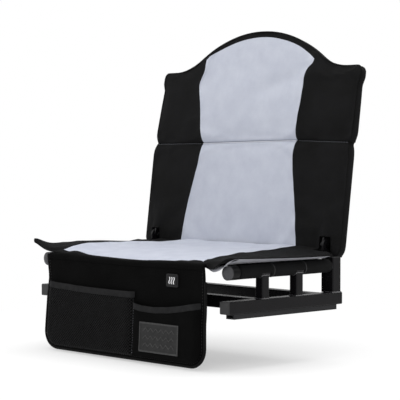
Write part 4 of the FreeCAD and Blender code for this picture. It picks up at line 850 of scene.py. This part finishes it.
def flapOutline(inset, start):  # down one side, round the bottom and up the other, in x and z
    half, low, radius = flap["half"] - inset, flap["bottom"] + inset, flap["round"] - inset
    sideSteps, bendSteps, floorSteps = 16, 10, 12
    right = [(half, start - (start - low - radius) * i / sideSteps) for i in range(sideSteps + 1)]
    for i in range(1, bendSteps + 1):
        a = math.pi / 2 * i / bendSteps
        right.append((half - radius + radius * math.cos(a), low + radius - radius * math.sin(a)))
    right += [((half - radius) * (1 - i / floorSteps), low) for i in range(1, floorSteps + 1)]
    return right + [(-x, z) for x, z in reversed(right[:-1])]


binding = {"radius": 3.1, "inset": 0.5, "topLeft": 102.0, "topRight": 80.0, "stitchInset": 6.5,
           "stitchTop": 100.0,
           "stitch": {"pitch": 6.0, "length": 3.6, "width": 0.9, "height": 0.7}, "lift": 0.1}


def makeBinding():
    look = binding
    points = [flapPoint(x, z, -flap["thick"] / 2) for x, z in flapOutline(look["inset"], look["topLeft"])
              if x < 0 or z < look["topRight"]]  # the right end stops under the drooping corner
    piece = tube("flapBinding", points, look["radius"], cloths["tape"], "flap", "binding_tape")
    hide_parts("flap_binding")
    run = [flapPoint(x, z, look["lift"]) for x, z in flapOutline(look["stitchInset"], look["stitchTop"])]
    stitches("flapEdgeStitches", [run], aheadOfFlap, look["stitch"], cloths["blackThread"], "flap")


makeFlapPanel()
makeBinding()


# Net pocket with an elastic band on its mouth
netLow, netHigh = boxMm("mesh_pocket")
netTopLeft = boxMm("mesh_pocket_band")[1].z
net = {"left": netLow.x, "right": netHigh.x, "bottom": netLow.z, "topLeft": netTopLeft,
       "topRight": netTopLeft - 5.5, "sag": 2.5, "depth": flap["front"] - netHigh.y, "pitch": 4.4,
       "strand": 1.05, "corner": 28.0, "soft": 15.0, "cornerCuts": (20, 45, 70), "spare": 6.0,
       "underBand": 5.0, "shortest": 0.35, "gap": 0.6, "closed": 0.52,
       "turnIn": (12.0, 6.0), "bag": {"height": 1.2, "perMm": (0.02, 0.017), "seed": [2.9]}}


def netTop(x):  # the mouth slopes down to the right and sags a little
    share = (x - net["left"]) / (net["right"] - net["left"])
    sag = net["sag"] * math.sin(math.pi * share)
    return net["topLeft"] + (net["topRight"] - net["topLeft"]) * share - sag


def cornerNear(side, low, reach):  # distance to a side and the bottom that meet in a round corner
    if side < reach and low < reach:
        return reach - math.hypot(reach - side, reach - low)
    return min(side, low)


def netOut(x, z):
    near = min(cornerNear(x - net["left"], z - net["bottom"], net["corner"]), net["right"] - x)
    return net["gap"] + (net["depth"] + wander(net["bag"], x, z)) * quarterRound(near, net["soft"])


def makeNet():
    left, right, bottom, corner = net["left"], net["right"], net["bottom"], net["corner"]
    bm = bmesh.new()
    reach = (right - left + netTop(left) - bottom) / math.sqrt(2) / 2 + net["spare"]
    cells = int(2 * reach / net["pitch"])
    place = Matrix.Translation(((left + right) / 2, 0, (net["topLeft"] + bottom) / 2))
    upright = Matrix.Rotation(math.pi / 2, 4, "X") @ Matrix.Rotation(math.pi / 4, 4, "Z")
    bmesh.ops.create_grid(bm, x_segments=cells, y_segments=cells, size=reach, matrix=place @ upright)
    slope = (net["topRight"] - net["topLeft"]) / (right - left)
    cuts = [((left, 0, 0), (-1, 0, 0)), ((right, 0, 0), (1, 0, 0)), ((0, 0, bottom), (0, 0, -1)),
            ((left, 0, net["topLeft"] - net["underBand"]), (-slope, 0, 1))]
    for turn in net["cornerCuts"]:  # the round lower left corner
        a = math.radians(turn)
        spot = (left + corner - corner * math.cos(a), 0, bottom + corner - corner * math.sin(a))
        cuts.append((spot, (-math.cos(a), 0, -math.sin(a))))
    for spot, away in cuts:
        everything = bm.verts[:] + bm.edges[:] + bm.faces[:]
        bmesh.ops.bisect_plane(bm, geom=everything, plane_co=spot, plane_no=away, clear_outer=True)
    bmesh.ops.remove_doubles(bm, verts=bm.verts, dist=net["shortest"])
    for vert in bm.verts:
        vert.co.y = netOut(vert.co.x, vert.co.z)
    hangOnFlap(bm)
    bm.normal_update()
    bmesh.ops.wireframe(bm, faces=bm.faces, thickness=net["strand"] * mm, offset=0.0, use_replace=True,
                        use_boundary=True, use_even_offset=False)
    piece = makePiece("netPocket", bm, [cloths["net"]])
    settle(piece, "flap", "net_cloth", "mesh_pocket", "mesh_pocket_gusset")


band = {"rows": 6, "swell": 0.5, "stretch": 1.02,
        "edgeWave": {"height": 0.5, "perMm": (0.05,), "seed": [0.3, 6.1]},
        "faceWave": {"height": 0.5, "perMm": (0.06, 0.05), "seed": [1.7]}}


def makeBand(name, left, right, topAt, outAt, look, replaced):  # a band that follows a mouth
    bm, u, v, s = layerGrid(look["columns"], band["rows"], 1)
    for vert in bm.verts:
        x = left + (right - left) * vert[u] / look["columns"]
        across = vert[v] / band["rows"]
        z = topAt(x) - look["height"] * (1 - across) + wander(band["edgeWave"], x)
        out = outAt(x, z) + band["swell"] * math.sin(math.pi * across) + wander(band["faceWave"], x, z)
        vert.co = (x, out + look["thick"] * (1 - vert[s]), z)
    hangOnFlap(bm)
    piece = makePiece(name, bm, [cloths["band"]])
    smoothOut(piece)
    settle(piece, "flap", "band_elastic", replaced)


netBand = {"height": 13.0, "thick": 1.3, "columns": 44, "past": 9.0, "soft": 11.0, "gap": 0.4, "inset": 1.0}


def netBandOut(x, z):
    near = min(x - net["left"], net["right"] + netBand["past"] - x)
    return netBand["gap"] + net["depth"] * quarterRound(near, netBand["soft"])


makeNet()
makeBand("netBand", net["left"] + netBand["inset"], net["right"] + netBand["past"] - netBand["inset"],
         netTop, netBandOut, netBand, "mesh_pocket_band")


# Cloth pocket, also with a band on its mouth
pocketLow, pocketHigh = boxMm("cloth_pocket")
pocket = {"left": pocketLow.x, "right": pocketHigh.x, "bottom": pocketLow.z, "topLeft": 21.0,
          "topRight": 31.0, "sag": 10.0, "sagPower": 0.8, "depth": flap["front"] - pocketHigh.y - 0.4,
          "thick": 1.2, "soft": 16.0, "corner": 26.0, "columns": 40, "rows": 26, "spread": 0.75,
          "rowPower": 1.25, "underBand": 1.5, "gap": 0.6,
          "creases": {"height": 0.9, "perMm": (0.022, 0.012), "seed": [9.4]}}


def pocketTop(x):
    share = (x - pocket["left"]) / (pocket["right"] - pocket["left"])
    sag = pocket["sag"] * math.sin(math.pi * share ** pocket["sagPower"])
    return pocket["topLeft"] + (pocket["topRight"] - pocket["topLeft"]) * share - sag


def pocketOut(x, z):
    near = min(cornerNear(pocket["right"] - x, z - pocket["bottom"], pocket["corner"]), x - pocket["left"])
    depth = pocket["depth"] + wander(pocket["creases"], x, z)
    return pocket["gap"] + depth * quarterRound(near, pocket["soft"])


def pocketFace(x, z):
    return pocketOut(x, z) + pocket["thick"]


def makeClothPocket():
    left, right, bottom, reach = pocket["left"], pocket["right"], pocket["bottom"], pocket["corner"]
    bm, u, v, s = layerGrid(pocket["columns"], pocket["rows"], 1)
    for vert in bm.verts:
        across = 2 * vert[u] / pocket["columns"] - 1
        across = math.copysign(abs(across) ** pocket["spread"], across)
        x = (left + right) / 2 + across * (right - left) / 2
        up = (vert[v] / pocket["rows"]) ** pocket["rowPower"]
        z = bottom + up * (pocketTop(x) - pocket["underBand"] - bottom)
        toRight, toLow = right - x, z - bottom
        if toRight < reach and toLow < reach:  # the round lower right corner
            over = math.hypot(reach - toRight, reach - toLow)
            if over > reach:
                x = right - reach + (reach - toRight) * reach / over
                z = bottom + reach - (reach - toLow) * reach / over
        vert.co = (x, pocketOut(x, z) + pocket["thick"] * (1 - vert[s]), z)
    hangOnFlap(bm)
    bmesh.ops.dissolve_degenerate(bm, dist=1e-6, edges=bm.edges)
    piece = makePiece("clothPocket", bm, [cloths["flap"]])
    smoothOut(piece)
    settle(piece, "flap", "black_fabric", "cloth_pocket", "cloth_pocket_gusset")


pocketBand = {"height": 12.5, "thick": 1.1, "columns": 40}
makeClothPocket()
makeBand("pocketBand", pocket["left"], pocket["right"], pocketTop, pocketFace, pocketBand,
         "cloth_pocket_band")


# Soft rubber patch with a raised rim and a plain relief of three zigzags
patchLow, patchHigh = boxMm("pocket_patch")
patch = {"rim": 3.2, "rimSlope": 0.6, "thick": patchHigh.y - patchLow.y, "recess": 0.7, "chamfer": 0.5,
         "corner": 0.9, "lift": 0.1, "cells": 8, "rib": 1.0, "levels": [-15, 0, 15], "reach": 46.0,
         "points": 13, "swing": 3.5, "stitchInset": 1.7, "stitchLift": 0.15, "stitchSteps": 8,
         "stitch": {"pitch": 4.2, "length": 2.8, "width": 0.8, "height": 0.6}}


def patchOut(x, z):
    return pocketFace(x, z) + patch["lift"]


def patchStops(length):  # grid lines on the rim's edges and a few between
    edge = [0, patch["chamfer"], patch["rim"], patch["rim"] + patch["rimSlope"]]
    cells = patch["cells"]
    inner = [edge[-1] + (length - 2 * edge[-1]) * i / cells for i in range(1, cells)]
    return edge + inner + [length - stop for stop in reversed(edge)]


def makePatch():
    wide, tall = patchHigh.x - patchLow.x, patchHigh.z - patchLow.z
    columns, rows = patchStops(wide), patchStops(tall)
    bm, u, v, s = layerGrid(len(columns) - 1, len(rows) - 1, 1)
    for vert in bm.verts:
        right, up = columns[int(round(vert[u]))], rows[int(round(vert[v]))]
        near = min(right, wide - right, up, tall - up)
        height = patch["thick"] - (patch["chamfer"] if near == 0 else 0)
        height -= patch["recess"] if near > patch["rim"] else 0
        if right in (0, wide) and up in (0, tall):
            right += math.copysign(patch["corner"], wide / 2 - right)
            up += math.copysign(patch["corner"], tall / 2 - up)
        x, z = patchLow.x + right, patchLow.z + up
        vert.co = (x, patchOut(x, z) + height * (1 - vert[s]), z)
    for face in bm.faces:
        across, up = faceMean(face, u), faceMean(face, v)
        inside = min(across, len(columns) - 1 - across, up, len(rows) - 1 - up)
        # the rim's top gets the paler material, a painted highlight on the relief
        face.material_index = 1 if inside < 2 and all(vert[s] == 0 for vert in face.verts) else 0
    hangOnFlap(bm)
    piece = makePiece("pocketPatch", bm, [solids["patch"], solids["patchLine"]], False)
    settle(piece, "flap", "patch_rubber", "pocket_patch")


def makePatchRibs():
    middleX, middleZ = (patchLow.x + patchHigh.x) / 2, (patchLow.z + patchHigh.z) / 2
    ground = patch["thick"] - patch["recess"]
    last = patch["points"] - 1
    for number, level in enumerate(patch["levels"]):
        run = []
        for i in range(last + 1):
            x = middleX + patch["reach"] * (2 * i / last - 1)
            z = middleZ + level + patch["swing"] * (1 if i % 2 else -1)
            run.append(flapPoint(x, z, patchOut(x, z) + ground))
        # the ribs use the paler material, a painted highlight on the relief
        tube("patchRib" + str(number + 1), run, patch["rib"], solids["patchLine"], "flap", "patch_rubber")


def makePatchStitches():
    inset, steps = patch["stitchInset"], patch["stitchSteps"]
    lowX, highX = patchLow.x + inset, patchHigh.x - inset
    lowZ, highZ = patchLow.z + inset, patchHigh.z - inset
    corners = [(lowX, lowZ), (highX, lowZ), (highX, highZ), (lowX, highZ)]
    run = []
    for first, second in zip(corners, corners[1:] + corners[:1]):
        for i in range(steps):
            x = first[0] + (second[0] - first[0]) * i / steps
            z = first[1] + (second[1] - first[1]) * i / steps
            run.append(flapPoint(x, z, patchOut(x, z) + patch["thick"] + patch["stitchLift"]))
    stitches("patchStitches", [run + run[:1]], aheadOfFlap, patch["stitch"], cloths["blackThread"], "flap")


makePatch()
makePatchRibs()
makePatchStitches()

divider = {"shifts": (-1.6, 1.6), "under": 2.0, "lift": 0.9, "steps": 12,
           "stitch": {"pitch": 5.0, "length": 3.2, "width": 0.8, "height": 0.7}}


def makePocketStitches():  # two rows hold the flap's cloth between the two pockets
    x = (net["right"] + pocket["left"]) / 2
    tall = pocket["topLeft"] - divider["under"] - pocket["bottom"]
    steps = divider["steps"]
    heights = [pocket["bottom"] + tall * i / steps for i in range(steps + 1)]
    runs = [[flapPoint(x + shift, z, divider["lift"]) for z in heights] for shift in divider["shifts"]]
    stitches("pocketStitches", runs, aheadOfFlap, divider["stitch"], cloths["greyThread"], "flap")


makePocketStitches()
print("flap made")


# Header: the strip of cover that joins the seat's front edge to the flap
header = {"half": flap["half"] - 1.0, "thick": 1.2, "rearShare": 0.8, "columns": 60, "flapShare": 0.35,
          "run": [(15.0, 107.2), (11.5, 107.6), (8.0, 107.6), (4.6, 107.0), (1.8, 105.6), (-0.2, 103.4),
                  (-1.0, 100.4), (-1.1, 97.0), (-0.9, 93.5)],  # mm behind the flap's face, and height
          "wave": {"height": 0.9, "perMm": (0.022,), "seed": [0.7, 3.3]}}


def makeHeader():
    look, front = header, flap["front"]
    last = len(look["run"]) - 1
    bm, u, v, s = layerGrid(look["columns"], last, 1)
    for vert in bm.verts:
        x = look["half"] * (2 * vert[u] / look["columns"] - 1)
        behind, z = look["run"][int(round(vert[v]))]
        keep = 1 - vert[v] / last
        dip = frontDip(x) * (look["flapShare"] + (1 - look["flapShare"]) * keep)
        dip += keep * wander(look["wave"], x)
        y = front + behind + look["thick"] * look["rearShare"] * vert[s]
        vert.co = Vector((x, y, z - dip - look["thick"] * vert[s] * keep)) * mm
    piece = makePiece("flapHeader", bm, [cloths["flap"]])
    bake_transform(piece)


makeHeader()
print("header made")


# Sling: cloth stretched between the seat tubes, sewn as sleeves that are notched round the posts
tubeLow, tubeHigh = boxMm("right_seat_tube")
tubeRadius = (tubeHigh.x - tubeLow.x) / 2
slingLow, slingHigh = boxMm("seat_sling")
postBoxes = [boxMm(name) for name in ("right_front_post", "right_middle_post")]
sling = {"x": (tubeLow.x + tubeHigh.x) / 2, "z": (tubeLow.z + tubeHigh.z) / 2, "radius": tubeRadius + 0.85,
         "sag": 6.0, "wrap": 305.0, "arcSteps": 26, "middleSteps": 24, "notch": 2.5,
         "notchTurn": (-172, -20), "thick": 1.0, "rowPitch": 9.0, "seamY": [-37.0, 55.0], "seamHalf": 1.6,
         "groove": 0.65, "grooveWide": 1.2, "seamBead": 0.9, "besideGroove": 3.0,
         "slack": {"height": 0.5, "perMm": (0.05, 0.02, 3.0), "seed": []}}
slingSteps = 2 * sling["arcSteps"] + sling["middleSteps"]


def slingRows():
    rows = {slingLow.y, slingHigh.y}
    for low, high in postBoxes:
        rows |= {low.y - sling["notch"], high.y + sling["notch"], (low.y + high.y) / 2}
    for seam in sling["seamY"]:
        rows |= {seam - sling["seamHalf"], seam, seam + sling["seamHalf"]}
    spread = sorted(rows)
    filled = []
    for first, second in zip(spread, spread[1:]):
        parts = max(1, int((second - first) / sling["rowPitch"]))
        filled += [first + (second - first) * i / parts for i in range(parts)]
    return filled + [spread[-1]]


def slingPoint(step, y):  # one sleeve, the cloth between the tubes, the other sleeve
    half = sling["middleSteps"] / 2
    away = abs(step - slingSteps / 2) - half
    if away <= 0:
        x = (step - slingSteps / 2) / half * sling["x"]
        return x, sling["z"] + sling["radius"] - sling["sag"] * (1 - (x / sling["x"]) ** 2), 90.0
    side = -1 if step < slingSteps / 2 else 1
    turn = 90 - sling["wrap"] * away / sling["arcSteps"]
    groove = sling["groove"] * max(bell(y - seam, sling["grooveWide"]) for seam in sling["seamY"])
    radius = sling["radius"] - groove + abs(wander(sling["slack"], y, turn, side))
    a = math.radians(turn)
    return side * (sling["x"] + radius * math.cos(a)), sling["z"] + radius * math.sin(a), turn


def makeSling():
    rows = slingRows()
    last = len(rows) - 1
    bm = bmesh.new()
    bmesh.ops.create_grid(bm, x_segments=slingSteps, y_segments=last, size=1.0)
    gone = []
    for face in bm.faces:
        spot = face.calc_center_median()
        row = int((spot.y + 1) / 2 * last)
        y = (rows[row] + rows[row + 1]) / 2
        turn = slingPoint((spot.x + 1) / 2 * slingSteps, y)[2]
        atPost = any(low.y - sling["notch"] < y < high.y + sling["notch"] for low, high in postBoxes)
        if atPost and sling["notchTurn"][0] < turn < sling["notchTurn"][1]:
            gone.append(face)
    for vert in bm.verts:
        y = rows[int(round((vert.co.y + 1) / 2 * last))]
        x, z, turn = slingPoint(round((vert.co.x + 1) / 2 * slingSteps), y)
        vert.co = Vector((x, y, z)) * mm
    bmesh.ops.delete(bm, geom=gone, context="FACES")
    bmesh.ops.recalc_face_normals(bm, faces=bm.faces)
    piece = makePiece("seatSling", bm, [cloths["black"]])
    thicken(piece, sling["thick"])
    settle(piece, "base", "black_fabric", "seat_sling")


def makeSleeveSeams():  # a raised seam round each sleeve
    arcs = {"left": range(sling["arcSteps"], -1, -1),
            "right": range(sling["arcSteps"] + sling["middleSteps"], slingSteps + 1)}
    for number, seam in enumerate(sling["seamY"]):
        for name, steps in arcs.items():
            places = [slingPoint(step, seam + sling["besideGroove"]) for step in steps]
            ring = [Vector((x, seam, z)) * mm for x, z, turn in places]
            tube(name + "SleeveSeam" + str(number + 1), ring, sling["seamBead"], cloths["blackThread"],
                 "base", "black_fabric")


makeSling()
makeSleeveSeams()
print("sling made")


# Weld beads where the posts meet the rails and the tubes
weld = {"radius": 1.5, "steps": 9, "above": 0.4, "under": 0.6, "ripple": 0.25, "rippleTurn": 1.9,
        "grow": 0.03, "growTurn": 2.4}


def weldRing(half):  # round a square post, in x and y from its middle
    corners = [(-1, -1), (1, -1), (1, 1), (-1, 1)]
    ring = []
    for (ax, ay), (bx, by) in zip(corners, corners[1:] + corners[:1]):
        for i in range(weld["steps"]):
            share = i / weld["steps"]
            ring.append((half.x * (ax + (bx - ax) * share), half.y * (ay + (by - ay) * share)))
    return ring


def makeWelds():
    posts = ("front_post", "middle_post", "rear_post")
    places = [(side, post) for side in ("left_", "right_") for post in posts]
    count = 0
    for side, post in places:
        low, high = boxMm(side + post)
        middle = (low + high) / 2
        for atTube in ((False,) if post == "rear_post" else (False, True)):
            count += 1
            points = []
            for i, (dx, dy) in enumerate(weldRing((high - low) / 2)):
                z = low.z + weld["above"]
                if atTube:
                    z = sling["z"] - math.sqrt(max(tubeRadius ** 2 - dx ** 2, 0)) - weld["under"]
                grow = 1 + weld["grow"] * math.sin(i * weld["growTurn"])
                z += weld["ripple"] * math.sin(i * weld["rippleTurn"])
                points.append(Vector((middle.x + dx * grow, middle.y + dy * grow, z)) * mm)
            tube("weldBead" + str(count), points, weld["radius"], solids["weld"], "base", "powder_coat",
                 True)


makeWelds()
print("welds made")


# Rear cover of the back: one cloth drawn over the hoop, with a sewn seam across
rearCover = {"columns": 84, "rows": 66, "half": 299.0, "bottom": -15.0, "topInset": 5.0, "inset": 5.0,
             "y": 21.2, "thick": 1.1,
             "hoopX": 268.0, "hoopTop": 346.0, "hoopBend": 48.0, "imprint": 1.6, "imprintWide": 9.0,
             "seamDepth": 1.0, "seamWide": 5.0,
             "slack": {"height": 0.5, "perMm": (0.012, 0.01), "seed": [5.5]},
             "seamRows": (-4.0, 4.0), "seamHalf": 280.0, "seamSteps": 40, "seamLift": 0.6,
             "stitch": {"pitch": 5.5, "length": 3.6, "width": 0.9, "height": 0.8}}


def hoopNear(x, z):  # distance to the hoop tube's centre line
    x = abs(x)
    bend = rearCover["hoopBend"]
    bendX, bendZ = rearCover["hoopX"] - bend, rearCover["hoopTop"] - bend
    if x > bendX and z > bendZ:
        return abs(math.hypot(x - bendX, z - bendZ) - bend)
    return abs(z - rearCover["hoopTop"]) if z > bendZ else abs(x - rearCover["hoopX"])


def makeRearCover():
    look = rearCover
    bm = bmesh.new()
    bmesh.ops.create_grid(bm, x_segments=look["columns"], y_segments=look["rows"], size=1.0)
    for vert in bm.verts:
        x = vert.co.x * look["half"]
        top = backTop(x) - look["topInset"]
        z = look["bottom"] + (vert.co.y + 1) / 2 * (top - look["bottom"])
        x = vert.co.x * (backHalf(upperBack if z > back["seam"] else lowerBack, x, z) - look["inset"])
        y = look["y"] + look["imprint"] * bell(hoopNear(x, z), look["imprintWide"])
        y += wander(look["slack"], x, z) - look["seamDepth"] * bell(z - back["seam"], look["seamWide"])
        vert.co = onBack(x, y, z)
    bmesh.ops.recalc_face_normals(bm, faces=bm.faces)
    piece = makePiece("backRearCover", bm, [cloths["black"]])
    thicken(piece, look["thick"])
    settle(piece, "back", "black_fabric", "back_rear_cover")
    runs = []
    for rise in look["seamRows"]:
        places = [look["seamHalf"] * (2 * i / look["seamSteps"] - 1) for i in range(look["seamSteps"] + 1)]
        runs.append([onBack(x, look["y"] + look["seamLift"], back["seam"] + rise) for x in places])
    stitches("rearSeamStitches", runs, behindBack, look["stitch"], cloths["greyThread"], "back")


makeRearCover()


# Piping on the cushions' edges and the sewn line between the two chambers
piping = {"radius": 1.5}
seamLine = {"lift": 1.4, "radius": 0.8,
            "stitch": {"pitch": 7.0, "length": 4.0, "width": 1.0, "height": 0.9}}


def frontSpots(piece):  # the front layer's points by column and row, read from the finished cushion
    layers = [piece.data.attributes[name].data for name in ("u", "v", "s")]
    return {(round(u.value), round(v.value)): vert.co.copy()
            for vert, u, v, s in zip(piece.data.vertices, *layers) if s.value == 0}


def makePiping(piece, look, upper):
    spots = frontSpots(piece)
    columns, rows = 2 * middleColumn(look), lastRow(look)
    climb = list(range(rows + 1)) if upper else list(range(rows, -1, -1))  # from the seam to the far edge
    ring = [(0, row) for row in climb]
    ring += [(column, climb[-1]) for column in range(1, columns)]
    ring += [(columns, row) for row in reversed(climb)]
    tube(piece.name + "Piping", [spots[key] for key in ring], piping["radius"], cloths["tape"], "back",
         "binding_tape")


def makeSeamLine():  # pale stitching across the grey, dotted on the black, just under the sewn line
    middle, edge = middleColumn(lowerBack), len(lowerBack["columns"]) - 1
    spots = frontSpots(lowerCushion)
    row = lastRow(lowerBack) - 1
    line = [spots[(column, row)] + aheadOfBack * seamLine["lift"] * mm for column in range(2 * middle + 1)]
    pale = line[middle - edge:middle + edge + 1]
    tube("seamThread", pale, seamLine["radius"], cloths["paleThread"], "back", "grey_fabric")
    runs = [[line[middle + side * i] for i in range(edge + 1, middle - 1)] for side in (-1, 1)]
    stitches("seamStitches", runs, aheadOfBack, seamLine["stitch"], cloths["greyThread"], "back")


makePiping(lowerCushion, lowerBack, False)
makePiping(upperCushion, upperBack, True)
makeSeamLine()
print("piping and seams made")


# Stage, light and camera
stage = {"floor": -0.1035, "size": 30.0, "fadeNear": 0.2, "fadeFar": 1.0, "fadeStart": 0.45,
         "ambient": 0.55}


def paleFloor():  # matt white card under the seat that fades into the white backdrop
    material, tree, shader = startMaterial("paleFloor", {"Roughness": 0.9, "Base Color": linear("#f4f4f4"),
                                                         "Specular IOR Level": 0.1})
    place = addNode(tree, "TexCoord").outputs["Object"]
    away = addNode(tree, "VectorMath", {"operation": "LENGTH"}, {0: place})
    fade = addNode(tree, "MapRange", {"From Min": stage["fadeNear"], "From Max": stage["fadeFar"],
                                      "To Min": stage["fadeStart"]}, {"Value": away.outputs["Value"]})
    backdrop = addNode(tree, "Emission", {"Color": (1, 1, 1, 1), "Strength": 1.0})
    both = addNode(tree, "MixShader", links={0: fade.outputs["Result"], 1: shader.outputs["BSDF"],
                                             2: backdrop.outputs["Emission"]})
    tree.links.new(both.outputs["Shader"], tree.nodes["Material Output"].inputs["Surface"])
    return material


def makeStage():
    bm = bmesh.new()
    bmesh.ops.create_grid(bm, x_segments=1, y_segments=1, size=stage["size"],
                          matrix=Matrix.Translation((0, 0, stage["floor"])))
    makePiece("floor", bm, [paleFloor()], False)
    world = bpy.data.worlds.new("softWhite")
    world.use_nodes = True
    tree = world.node_tree
    soft = tree.nodes["Background"]
    soft.inputs["Color"].default_value = (1, 1, 1, 1)
    seen = addNode(tree, "LightPath").outputs["Is Camera Ray"]  # white backdrop, dimmer as a light
    strength = addNode(tree, "MapRange", {"To Min": stage["ambient"], "To Max": 1.0}, {"Value": seen})
    tree.links.new(strength.outputs["Result"], soft.inputs["Strength"])
    bpy.context.scene.world = world
    bpy.context.scene.view_settings.view_transform = "Standard"  # plain colours, so white stays white


lights = {"key": {"at": (1.7, -2.6, 1.7), "size": 2.2, "power": 35.0},
          "fill": {"at": (-2.6, -1.6, 1.6), "size": 2.5, "power": 24.0},
          "top": {"at": (0.0, 0.55, 3.0), "size": 2.6, "power": 64.0},
          "rear": {"at": (0.6, 2.6, 2.4), "size": 2.5, "power": 26.0}}
lightAim = Vector((0, 0, 0.25))
view = {"eye": (2.5264, -2.3588, 0.3406), "forward": (-0.7253, 0.6876, -0.0344), "lens": 146.43,
        "sensor": 36.0, "far": 100.0}


def makeLights():
    for name, look in lights.items():
        data = bpy.data.lights.new(name, "AREA")
        data.size = look["size"]
        data.energy = look["power"]
        lamp = bpy.data.objects.new(name, data)
        lamp.location = look["at"]
        lamp.rotation_euler = (lightAim - Vector(look["at"])).to_track_quat("-Z", "Y").to_euler()
        bpy.context.scene.collection.objects.link(lamp)


def makeCamera():
    data = bpy.data.cameras.new("photoView")
    data.lens = view["lens"]
    data.sensor_width = view["sensor"]
    data.clip_end = view["far"]
    camera = bpy.data.objects.new("photoView", data)
    camera.location = view["eye"]
    camera.rotation_euler = Vector(view["forward"]).to_track_quat("-Z", "Y").to_euler()
    bpy.context.scene.collection.objects.link(camera)
    bpy.context.scene.camera = camera


makeStage()
makeLights()
makeCamera()
print("stage, lights and camera set")
